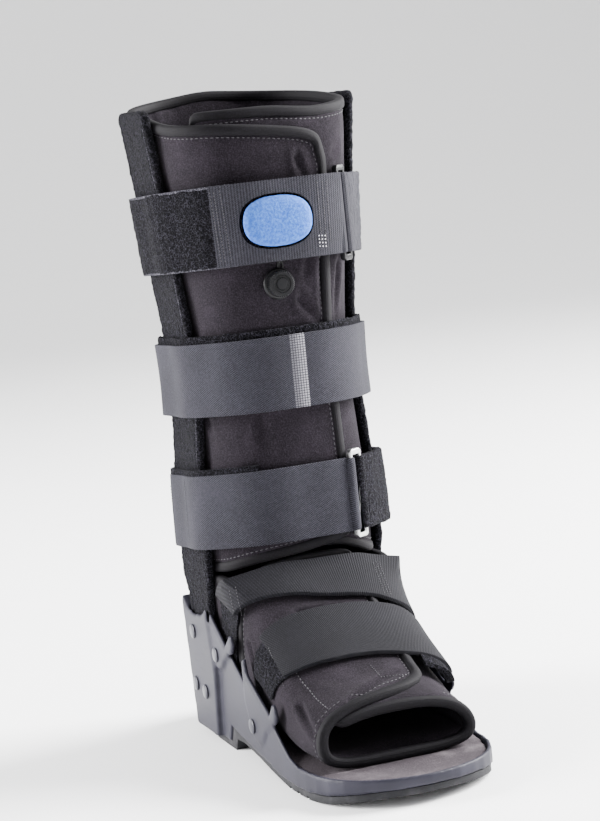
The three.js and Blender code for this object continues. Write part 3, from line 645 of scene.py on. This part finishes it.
bare_webbing(pile["strap_top"])
straps = {}
for node, material, slot, kind in (
    ("strap_top_panel", panel_webbing, "strap_webbing", "leg"),
    ("strap_middle", leg_webbing, "strap_webbing", "leg"),
    ("strap_ankle", leg_webbing, "strap_webbing", "leg"),
    ("strap_instep", foot_webbing, "foot_strap_webbing", "foot"),
    ("strap_forefoot", foot_webbing, "foot_strap_webbing", "foot"),
):
    straps[node] = strap_piece(node, material, kind)
    print(node, "faces:", len(straps[node].data.polygons))


def backing(name, node, kind, inward, shift, kept_from, kept_way):
    """A pile lining: the strap's copy drawn inward and shifted, so that it shows beyond one edge.

    Only what lies past kept_from is kept, on the side that kept_way says. Lengths are in millimetres
    """
    bm = quads(cad_copy(node))
    for vert in bm.verts:
        around = (0, vert.co.z - FOOT_AXIS_Z) if kind == "foot" else (vert.co.y - LEG_AXIS_Y, 0)
        way = Vector((vert.co.x, *around)).normalized()
        vert.co += Vector(shift) * MM - way * inward * MM
    bmesh.ops.bisect_plane(bm, geom=bm.verts[:] + bm.edges[:] + bm.faces[:],
                           plane_co=(kept_from * MM, 0, 0), plane_no=(kept_way, 0, 0), clear_inner=True)
    bmesh.ops.holes_fill(bm, edges=[e for e in bm.edges if e.is_boundary], sides=0)
    return place_piece(new_object(name, bm, loop_pile), (), 40)


for name, node, kind, inward, shift, kept_from, kept_way in (
    ("forefoot_backing", "strap_forefoot", "foot", 2.2, (0, -7, -3.4), 34, 1),
    ("forefoot_inner_backing", "strap_forefoot", "foot", 4.6, (0, -6, -3.4), 42, 1),
    ("instep_backing", "strap_instep", "foot", 4.2, (0, -5, -4.2), 36, 1),
    ("ankle_backing", "strap_ankle", "leg", 1.3, (0, 0, 3.6), -30, -1),
):
    backing(name, node, kind, inward, shift, kept_from, kept_way)

# %% [markdown]
# ## Folds round the rings
# A ring shows only its top and bottom bars, because the strap is folded back round one upright bar and
# the tab round the other. Each fold is a short oval tube of cloth that stands on its bar.


# %% Folds
WIRE_RADIUS = 1.1 * MM
FOLD_OVAL = 1.15


def ring_bars(node):
    """Places of a ring's two upright bars, from the outer side to the inner, and the way from one on"""
    low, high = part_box(node)
    points = np.array([v.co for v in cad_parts[node].data.vertices])
    middle = (low + high) / 2
    flat = points[:, :2] - np.array(middle[:2])
    along = np.linalg.svd(flat)[2][0]
    along = along if along[0] > 0 else -along
    reach = (flat @ along).max() - WIRE_RADIUS
    way = Vector((*along, 0))
    return [middle - way * reach, middle + way * reach], way


def fold(name, middle, way, half_height, thick, material):
    bm = bmesh.new()
    bmesh.ops.create_cone(bm, cap_ends=True, segments=20, radius1=1, radius2=1, depth=2)
    caps = [f for f in bm.faces if len(f.verts) > 4]
    bmesh.ops.inset_region(bm, faces=caps, thickness=0.25, depth=0)
    turn = Matrix((way, Vector((-way.y, way.x, 0)), Vector((0, 0, 1)))).transposed().to_4x4()
    size = Matrix.Diagonal((thick * FOLD_OVAL, thick, half_height, 1))
    upright = [e for e in bm.edges if abs(e.verts[0].co.z - e.verts[1].co.z) > 1]
    bmesh.ops.subdivide_edges(bm, edges=upright, cuts=6, use_grid_fill=True)
    bmesh.ops.transform(bm, matrix=Matrix.Translation(middle) @ turn @ size, verts=bm.verts)
    obj = subdivide(new_object(name, bm, material), 1)
    cloth_map(obj, "leg")
    return place_piece(obj)


ankle_bars, ankle_way = ring_bars("ring_ankle")
top_bars, top_way = ring_bars("ring_top")
for name, bar, way, half_height, thick, material, slot in (
    ("strap_ankle_fold", ankle_bars[0], ankle_way, 23.2, 3.1, leg_webbing, "strap_webbing"),
    ("ankle_tab_fold", ankle_bars[1], ankle_way, 23.2, 3.6, loop_pile, "loop_pile"),
    ("strap_top_fold", top_bars[0], top_way, 24.8, 3.2, panel_webbing, "strap_webbing"),
    ("strap_top_back_fold", top_bars[1], top_way, 24.8, 3.0, panel_webbing, "strap_webbing"),
):
    fold(name, bar, way, half_height * MM, thick * MM, material)

# %% [markdown]
# ## The foam liner
# The liner is 5 mm foam between two cloths. It swells between the straps and is pressed flat under
# them. Each part is a quad copy of its solid, subdivided, then blown up a little as cloth: what lies
# close to a strap, an upright or the shell is pinned, and no point may move further than a cap. Creases
# are pulled in along lines, which are written as two points of the picture each.

# %% Liner
PRESSED_BY = ["strap_top", "strap_top_panel", "strap_middle", "strap_middle_pad", "strap_ankle",
              "strap_ankle_tab", "upright_lateral", "upright_medial", "strap_instep", "strap_forefoot",
              "tab_rear_lateral", "tab_front_lateral", "tab_rear_medial", "tab_front_medial", "shell",
              "valve_base"]


def tree_of(objects):
    bm = bmesh.new()
    for obj in objects:
        bm.from_mesh(obj.data)
    tree = BVHTree.FromBMesh(bm)
    bm.free()
    return tree


pressing = tree_of(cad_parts[node] for node in PRESSED_BY)


def seen(x, y, tree):
    """Point and normal where the camera's ray through a point of the 600 by 821 picture meets a tree"""
    right, up, back = (Vector(camera.matrix_world.to_3x3().col[i]) for i in range(3))
    across, down = x - IMAGE_WIDTH / 2, y - IMAGE_HEIGHT / 2
    way = (right * (across / FOCAL_PIXELS) - up * (down / FOCAL_PIXELS) - back).normalized()
    return tree.ray_cast(CAMERA_PLACE, way)[:2]


CREASES = {
    "liner_leg": [((297, 158), (303, 171)), ((336, 146), (323, 168)), ((310, 254), (304, 277)),
                  ((322, 257), (323, 316)), ((337, 262), (334, 314)), ((300, 300), (322, 322)),
                  ((205, 412), (214, 436)), ((205, 556), (222, 572)), ((258, 416), (262, 450))],
    "liner_foot": [((250, 645), (262, 690)), ((300, 615), (345, 607)), ((352, 700), (396, 672)),
                   ((300, 706), (318, 742))],
}


CREASE_DEPTH, CREASE_WIDTH = 2.4, 2 * MM
BANK_PLACE, BANK_WIDTH = 4.5 * MM, 2.4 * MM
CREASE_FADE = 1.3


def crease_depth(node, points):
    """How deep the creases pull the cloth in, in metres. A low bank runs along both sides of each"""
    tree = tree_of([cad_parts[node]])
    depth = np.zeros(len(points))
    for start, end in CREASES.get(node, ()):
        first, last = (seen(*p, tree)[0] for p in (start, end))
        if first is None or last is None:
            continue
        first, last = np.array(first), np.array(last)
        way = last - first
        share = np.clip((points - first) @ way / (way @ way), 0, 1)
        reach = np.linalg.norm(points - first - share[:, None] * way, axis=1)
        fade = np.clip(CREASE_FADE - share, 0, 1)
        valley = CREASE_DEPTH * np.exp(-(reach / CREASE_WIDTH) ** 2)
        banks = np.exp(-((reach - BANK_PLACE) / BANK_WIDTH) ** 2)
        depth += fade * (valley - banks)
    return depth * MM


HELD_REACH = 4.5 * MM
STEPS = 20


def swell(obj, cap):
    """Blows a closed foam piece up as cloth, with what lies close to a pressing piece held"""
    before = points_of(obj)
    held = [i for i, p in enumerate(before) if pressing.find_nearest(Vector(p))[3] < HELD_REACH]
    group = obj.vertex_groups.new(name="held")
    group.add([int(i) for i in held], 1.0, "REPLACE")
    cloth = modifier(obj, "CLOTH")
    cloth.settings.effector_weights.gravity = 0
    cloth.settings.vertex_group_mass = "held"
    cloth.settings.use_pressure = True
    cloth.settings.uniform_pressure_force = 4.0
    cloth.settings.quality = 4
    cloth.point_cache.frame_start = 1
    cloth.point_cache.frame_end = STEPS
    for step in range(1, STEPS + 1):
        scene.frame_set(step)
    apply_modifiers(obj)
    moved = points_of(obj) - before
    length = np.linalg.norm(moved, axis=1)
    scale = np.minimum(1, cap / np.maximum(length, 1e-9))
    set_points(obj, before + moved * scale[:, None])
    scene.frame_set(1)
    print(obj.name, "moved at most", round(float((length * scale).max()) / MM, 2), "mm, held", len(held))


def liner_piece(node, cap):
    obj = subdivide(new_object(node + "_dressed", quads(cad_copy(node)), liner_fabric), 2)
    swell(obj, cap)
    subdivide(obj, 1)
    points = points_of(obj)
    push = rough(points, (0.35, 45), (0.12, 160)) * MM - crease_depth(node, points)
    set_points(obj, points + normals_of(obj) * push[:, None])
    print(obj.name, "faces:", len(obj.data.polygons))
    return place_piece(obj, (node,))


liner_leg = liner_piece("liner_leg", 2.2 * MM)
liner_piece("liner_heel", 1.5 * MM)
liner_foot = liner_piece("liner_foot", 1.8 * MM)


# %% [markdown]
# ## Bindings and stitches
# Every free edge of the liner is wrapped in a smooth tape and sewn. The tape is swept along the middle
# of the wall's thin edge: a grid is made by one operator, and each of its columns is set round the path.
# A row of short stitches follows a few millimetres inside it.

# %% Paths along a wall's thin edge
RIM_STEEP = math.radians(50)


def rim_runs(node):
    """Each run is a list of (middle of the thin edge, direction out of it, direction through the wall)"""
    bm = quads(cad_copy(node))
    bm.normal_update()
    steep = {e for e in bm.edges if e.is_manifold and e.calc_face_angle() > RIM_STEEP}

    def across(face):
        loops = list(face.loops)
        if len(loops) != 4:
            return None
        for i in (0, 1):
            a, b = loops[i].edge, loops[i + 2].edge
            if a in steep and b in steep:
                return a, b, loops[i + 1].edge, loops[(i + 3) % 4].edge
        return None

    rims = {f: across(f) for f in bm.faces}
    rims = {f: r for f, r in rims.items() if r}
    runs, done = [], set()
    for face in bm.faces:
        if face not in rims or face in done:
            continue
        strip = [face]
        done.add(face)
        for end, way in ((2, 1), (3, -1)):
            here, edge = face, rims[face][end]
            while True:
                step = [f for f in edge.link_faces if f is not here]
                if not step or step[0] not in rims or step[0] in done or edge in steep:
                    break
                here = step[0]
                done.add(here)
                strip.insert(len(strip) if way > 0 else 0, here)
                sides = rims[here]
                edge = sides[3] if sides[2] is edge else sides[2]
        runs.append([(f.calc_center_median(), f.normal.copy(), rim_across(rims[f])) for f in strip])
    bm.free()
    return [r for r in runs if len(r) > 3]


def rim_across(sides):
    """Direction from one long edge of a rim face to the other"""
    middle = [(e.verts[0].co + e.verts[1].co) / 2 for e in sides[:2]]
    return (middle[0] - middle[1]).normalized()


CHAIN_GAP = 32 * MM


def chained(runs):
    """The runs joined end to end into one loop, with the wall's direction kept the same way round"""
    left = [list(r) for r in sorted(runs, key=len)]
    chain = left.pop()
    while left:
        tail = chain[-1][0]
        ends = [((r[side][0] - tail).length, i, side) for i, r in enumerate(left) for side in (0, -1)]
        reach, i, side = min(ends)
        if reach > CHAIN_GAP:
            break
        run = left.pop(i)
        chain += run if side == 0 else run[::-1]
    if (chain[0][0] - chain[-1][0]).length < CHAIN_GAP:
        chain.append(chain[0])
    return same_way(chain, chain[0][1])


def same_way(run, before):
    """The run with each direction through the wall turned to agree with the one before it"""
    rows = []
    for middle, out, wall in run:
        before = wall if wall.dot(before) > 0 else -wall
        rows.append((middle, out, before))
    return rows


ROUNDING_PASSES = 3


def even_path(run, step):
    """The run with a point every step metres, its corners rounded by a few passes of smoothing"""
    rows = np.array([[*middle, *out, *wall] for middle, out, wall in run])
    reach = np.append(0, np.cumsum(np.linalg.norm(np.diff(rows[:, :3], axis=0), axis=1)))
    places = np.linspace(0, reach[-1], max(4, int(reach[-1] / step)))
    rows = np.stack([np.interp(places, reach, rows[:, i]) for i in range(9)], 1)
    for _ in range(ROUNDING_PASSES):
        rows[1:-1] = (rows[:-2] + rows[1:-1] * 2 + rows[2:]) / 4
    for i in (3, 6):
        rows[:, i:i + 3] /= np.maximum(np.linalg.norm(rows[:, i:i + 3], axis=1), 1e-6)[:, None]
    return rows, reach[-1]


# %% Tape and stitches
WALL = 5 * MM
TAPE_SIDES = 14
TAPE_STEP = 2.5 * MM
TAPE_SINK = 0.36
OUT_POWER, THROUGH_POWER = 0.6, 0.7


def flattened(wave, power):
    """The wave with its tops made broader, so that two of them draw a rounded rectangle"""
    return math.copysign(abs(wave) ** power, wave)


def tape(name, runs, proud, depth, wall=WALL, material=binding_tape):
    """A binding swept along each run: proud of the wall on both faces and depth metres wide"""
    whole = bmesh.new()
    whole.loops.layers.uv.new("cloth")
    for run in runs:
        path, length = even_path(run, TAPE_STEP)
        path = np.vstack([path[0], path, path[-1]])
        bm = bmesh.new()
        uv = bm.loops.layers.uv.new("cloth")
        bmesh.ops.create_grid(bm, x_segments=len(path) - 1, y_segments=TAPE_SIDES, size=1)
        for vert in bm.verts:
            column = round((vert.co.x + 1) / 2 * (len(path) - 1))
            turn = (vert.co.y + 1) / 2 * 2 * math.pi
            middle, out, through = (Vector(path[column][i:i + 3]) for i in (0, 3, 6))
            size = 0.0 if column in (0, len(path) - 1) else 1.0
            wide, tall = (wall / 2 + proud) * size, depth / 2 * size
            side = wide * flattened(math.cos(turn), THROUGH_POWER)
            rise = tall * flattened(math.sin(turn), OUT_POWER) - depth * TAPE_SINK
            for loop in vert.link_loops:
                loop[uv].uv = (column / len(path) * length, vert.co.y * depth)
            vert.co = middle + through * side + out * rise
        bmesh.ops.remove_doubles(bm, verts=bm.verts, dist=1e-5)
        bmesh.ops.recalc_face_normals(bm, faces=bm.faces)
        mesh = bpy.data.meshes.new("run")
        bm.to_mesh(mesh)
        bm.free()
        whole.from_mesh(mesh)
        bpy.data.meshes.remove(mesh)
    return place_piece(new_object(name, whole, material))


def stitches(name, lines, material, pitch=3.2 * MM, length=2.0 * MM, radius=0.35 * MM):
    """Short sewn stitches along lines of points"""
    bm = bmesh.new()
    count = 0
    for line in lines:
        points = np.array([list(p) for p in line])
        reach = np.append(0, np.cumsum(np.linalg.norm(np.diff(points, axis=0), axis=1)))
        for place in np.arange(pitch, reach[-1] - pitch, pitch):
            here, ahead = (Vector([np.interp(place + d, reach, points[:, i]) for i in range(3)])
                           for d in (0, length / 2))
            turn = (ahead - here).to_track_quat("Z", "Y").to_matrix().to_4x4()
            stretch = Matrix.Diagonal((radius, radius, length / 2, 1))
            bmesh.ops.create_uvsphere(bm, u_segments=6, v_segments=4, radius=1,
                                      matrix=Matrix.Translation(here) @ turn @ stretch)
            count += 1
    print(name, "stitches:", count)
    return place_piece(new_object(name, bm, material))


SEAM_REACH = 7.2 * MM
SEAM_STEP = 3 * MM
CLEAR_OF_WALL = WALL / 2 + 2.5 * MM
THREAD_RISE = 0.1 * MM


def seam(run, outward, cloth):
    """A line in from a wall's edge, laid on the outer face of the finished cloth"""
    line = []
    for row in even_path(run, SEAM_STEP)[0]:
        middle, out, wall = (Vector(row[i:i + 3]) for i in (0, 3, 6))
        side = wall if outward(middle).dot(wall) > 0 else -wall
        point = cloth.ray_cast(middle - out * SEAM_REACH + side * CLEAR_OF_WALL, -side)[0]
        if point:
            line.append(point + side * THREAD_RISE)
    return line


def from_leg_axis(place):
    return Vector((place.x, place.y - LEG_AXIS_Y, 0))


def from_foot_axis(place):
    return Vector((place.x, 0, place.z - FOOT_AXIS_Z))


FRINGE_FROM_X = -30 * MM
FRINGE_TO_Y = 40 * MM


def fringe_runs():
    """The edges of the top strap's end on the outer side"""
    runs = [[row for row in run if row[0].x < FRINGE_FROM_X and row[0].y < FRINGE_TO_Y]
            for run in rim_runs("strap_top")]
    return [same_way(run, run[0][2]) for run in runs if len(run) > 3]


thread = Finish("thread", from_screen(42, 40, 45), 0.7).material
pale_thread = Finish("pale_thread", from_screen(190, 188, 194), 0.7).material
leg_loop, heel_loop, foot_loop = (
    chained(rim_runs(node)) for node in ("liner_leg", "liner_heel", "liner_foot"))
tape("leg_binding", [leg_loop], proud=0.8 * MM, depth=7 * MM)
tape("heel_binding", [heel_loop], proud=0.5 * MM, depth=6 * MM)
tape("foot_binding", [foot_loop], proud=0.9 * MM, depth=7 * MM)
leg_seam = seam(leg_loop, from_leg_axis, tree_of([liner_leg]))
foot_seam = seam(foot_loop, from_foot_axis, tree_of([liner_foot]))
stitches("leg_stitches", [leg_seam], thread)
stitches("foot_stitches", [foot_seam], thread)
tape("strap_top_fringe", fringe_runs(), proud=0.1 * MM, depth=1.7 * MM,
     wall=2.6 * MM, material=pile_edge)
print("binding points:", len(leg_loop), len(heel_loop), len(foot_loop))

# %% [markdown]
# ## Sewn rows that the picture shows
# These rows are placed by where they are seen: a ray from the camera through a point of the picture
# finds the cloth, and the stitch is laid on it. Each row is a list of corners in the picture.


# %% Sewn rows
ROW_STEPS = 14
ROW_RISE = 0.15 * MM
SAME_PLACE = 0.2 * MM


def sewn_row(tree, corners):
    line = []
    for (x0, y0), (x1, y1) in zip(corners, corners[1:]):
        for share in np.linspace(0, 1, ROW_STEPS):
            point, normal = seen(x0 + (x1 - x0) * share, y0 + (y1 - y0) * share, tree)
            if point and not (line and (point - line[-1]).length < SAME_PLACE):
                line.append(point + normal * ROW_RISE)
    return line


leg_cloth = tree_of([pile["strap_top"], straps["strap_top_panel"], straps["strap_middle"],
                     straps["strap_ankle"]])
foot_cloth = tree_of([straps["strap_instep"], straps["strap_forefoot"], liner_foot])
upright_cloth = tree_of([pile["upright_lateral"]])
dark_rows = [[(209, 190), (222, 265)], [(213, 190), (226, 265)], [(219, 188), (232, 263)],
             [(316, 174), (322, 246)], [(321, 173), (327, 246)], [(325, 173), (331, 246)],
             [(170, 478), (177, 547)], [(184, 476), (190, 548)]]
foot_rows = [[(229, 588), (236, 622)], [(235, 585), (243, 620)], [(268, 646), (285, 689)],
             [(372, 561), (386, 597)], [(375, 560), (389, 597)], [(378, 560), (392, 598)],
             [(369, 664), (381, 677), (412, 674)]]
hem_rows = [[(142, 127), (156.5, 192)], [(173.5, 278), (183.5, 327)], [(196, 416), (197, 464)]]
dot_rows = [[(x, 232), (x + 2, 252)] for x in (318.5, 321.5, 324.5)]
for name, cloth, rows, material, slot, pitch, length, radius in (
    ("strap_stitches", leg_cloth, dark_rows, thread, "strap_webbing", 2.0, 1.1, 0.3),
    ("foot_strap_stitches", foot_cloth, foot_rows, thread, "foot_strap_webbing", 2.0, 1.1, 0.3),
    ("upright_hem", upright_cloth, hem_rows, pile_edge, "loop_pile", 1.6, 1.8, 0.35),
    ("top_dots", leg_cloth, dot_rows, pale_thread, "strap_webbing", 2.2, 0.9, 0.4),
):
    stitches(name, [sewn_row(cloth, row) for row in rows], material,
             pitch=pitch * MM, length=length * MM, radius=radius * MM)


# %% [markdown]
# ## Pump and valve
# The pump is a foam pillow with a pitted blue skin. The valve under it has a knurled cap.


# %% Pump
def pump_finish():
    finish = Finish("pump_cover", from_screen(72, 122, 205), 0.85, specular_ior_level=0.2,
                    sheen_weight=0.03)
    pits = finish.noise(0.0016, 3, 0.7)
    glow = finish.noise(0.02, 2)
    share = pits.ramp(0.3, 0.75) * 0.7 + glow * 0.3
    finish.feed("Base Color", finish.mix(share, from_screen(24, 64, 145), from_screen(70, 118, 196)))
    finish.bump(pits + finish.cells(0.0025) * 0.4, 0.0006, 0.8)
    return finish.material


def make_pump():
    obj = subdivide(new_object("pump_bulb_dressed", quads(cad_copy("pump_bulb")), pump_finish()), 3)
    points = points_of(obj)
    push = rough(points, (0.12, 600), (0.1, 250)) * MM
    set_points(obj, points + normals_of(obj) * push[:, None])
    return place_piece(obj, ("pump_bulb",))


pump = make_pump()
bevelled_piece("valve_base", black_plastic, 0.4 * MM)
KNURLS = 40
KNURL_INSET = 0.94
CAP_CHAMFER = 0.9
CAP_STEPS = ((CAP_CHAMFER, CAP_CHAMFER), (1.6, 0.0), (0.4, -0.6), (1.2, 0.0), (0.4, 0.6))


def make_valve_cap():
    """A knurled cap: the rim's teeth are every second point of a circle, drawn in a little"""
    low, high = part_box("valve_cap")
    radius = (high.x - low.x) / 2
    bm = bmesh.new()
    rim = bmesh.ops.create_circle(bm, cap_ends=True, segments=KNURLS * 2, radius=radius)["verts"]
    for vert in rim[::2]:
        vert.co *= KNURL_INSET
    body = bmesh.ops.extrude_face_region(bm, geom=bm.faces[:])["geom"]
    raised = [v for v in body if isinstance(v, bmesh.types.BMVert)]
    bmesh.ops.translate(bm, verts=raised, vec=(0, 0, high.y - low.y - CAP_CHAMFER * MM))
    top = [f for f in body if isinstance(f, bmesh.types.BMFace)]
    for thickness, depth in CAP_STEPS:
        bmesh.ops.inset_region(bm, faces=top, thickness=thickness * MM, depth=depth * MM)
    bmesh.ops.recalc_face_normals(bm, faces=bm.faces)
    place = Matrix.Translation(((low.x + high.x) / 2, high.y, (low.z + high.z) / 2))
    bmesh.ops.transform(bm, matrix=place @ Matrix.Rotation(math.pi / 2, 4, "X"), verts=bm.verts)
    obj = new_object("valve_cap_dressed", bm, black_plastic)
    place_piece(obj, ("valve_cap",), 30)


TAB_PIXEL = (280, 266)


def make_valve_tab():
    """The small moulded loop that stands on the cloth above the valve"""
    place, normal = seen(*TAB_PIXEL, tree_of([liner_leg]))
    bm = bmesh.new()
    bmesh.ops.create_cone(bm, cap_ends=True, segments=24, radius1=2.6 * MM, radius2=2.2 * MM,
                          depth=1.6 * MM)
    top = [f for f in bm.faces if len(f.verts) > 4 and f.calc_center_median().z > 0]
    bmesh.ops.inset_region(bm, faces=top, thickness=0.9 * MM, depth=0)
    bmesh.ops.inset_region(bm, faces=top, thickness=0.2 * MM, depth=-0.8 * MM)
    bmesh.ops.scale(bm, vec=(1, 1.9, 1), verts=bm.verts)
    turn = (-normal).to_track_quat("-Z", "Y").to_matrix().to_4x4()
    bmesh.ops.transform(bm, matrix=Matrix.Translation(place) @ turn, verts=bm.verts)
    place_piece(new_object("valve_tab", bm, black_plastic), (), 30)


make_valve_cap()
make_valve_tab()
print("pump faces:", len(pump.data.polygons))

# %% [markdown]
# ## Floor and light
# The floor is a plain pale sweep. A large soft light on each side of the boot lights its flanks, as the
# bright edges of the straps show, and a weak one above lights the foot.


# %% Stage
FLAT_RADIUS = 3.0
BEND_RADIUS = 3.2
STEEPEST = 1.1


def make_floor():
    """A flat floor that curves up all round, so that it has no edge from any side"""
    finish = Finish("floor_pale", (0.86, 0.86, 0.87), 0.9)
    pale, paler = (0.9, 0.9, 0.905), (0.92, 0.92, 0.925)
    finish.feed("Base Color", finish.mix(finish.noise(0.4, 2), pale, paler))
    bm = bmesh.new()
    bmesh.ops.create_grid(bm, x_segments=90, y_segments=90, size=7)
    for vert in bm.verts:
        away = vert.co.xy.length
        if away > FLAT_RADIUS:
            turn = min((away - FLAT_RADIUS) / BEND_RADIUS, STEEPEST)
            reach = FLAT_RADIUS + BEND_RADIUS * math.sin(turn)
            vert.co.xy *= reach / away
            vert.co.z = BEND_RADIUS * (1 - math.cos(turn))
    obj = new_object("floor_sweep", bm, finish.material)
    obj.data.shade_smooth()


def soft_light(name, place, target, size, watts):
    data = bpy.data.lights.new(name, "AREA")
    data.shape = "RECTANGLE"
    data.size, data.size_y = size
    data.energy = watts
    lamp = bpy.data.objects.new(name, data)
    lamp.location = place
    lamp.rotation_euler = (Vector(place) - Vector(target)).to_track_quat("Z", "Y").to_euler()
    scene.collection.objects.link(lamp)


make_floor()
LEG_MIDDLE = (0, 0, 0.2)
soft_light("left_softbox", (-1.85, 0.75, 0.8), LEG_MIDDLE, (1.0, 1.6), 225)
soft_light("right_softbox", (1.9, -0.2, 1.25), LEG_MIDDLE, (1.0, 1.6), 430)
soft_light("top_softbox", (0.2, -0.3, 2.3), (0, -0.1, 0.1), (1.4, 1.2), 12)
world = bpy.data.worlds.new("studio")
world.use_nodes = True
sky = world.node_tree.nodes["Background"]
sky.inputs["Color"].default_value = (1, 1, 1, 1)
sky.inputs["Strength"].default_value = 1.05
scene.world = world
print("floor, three lights and a white sky")
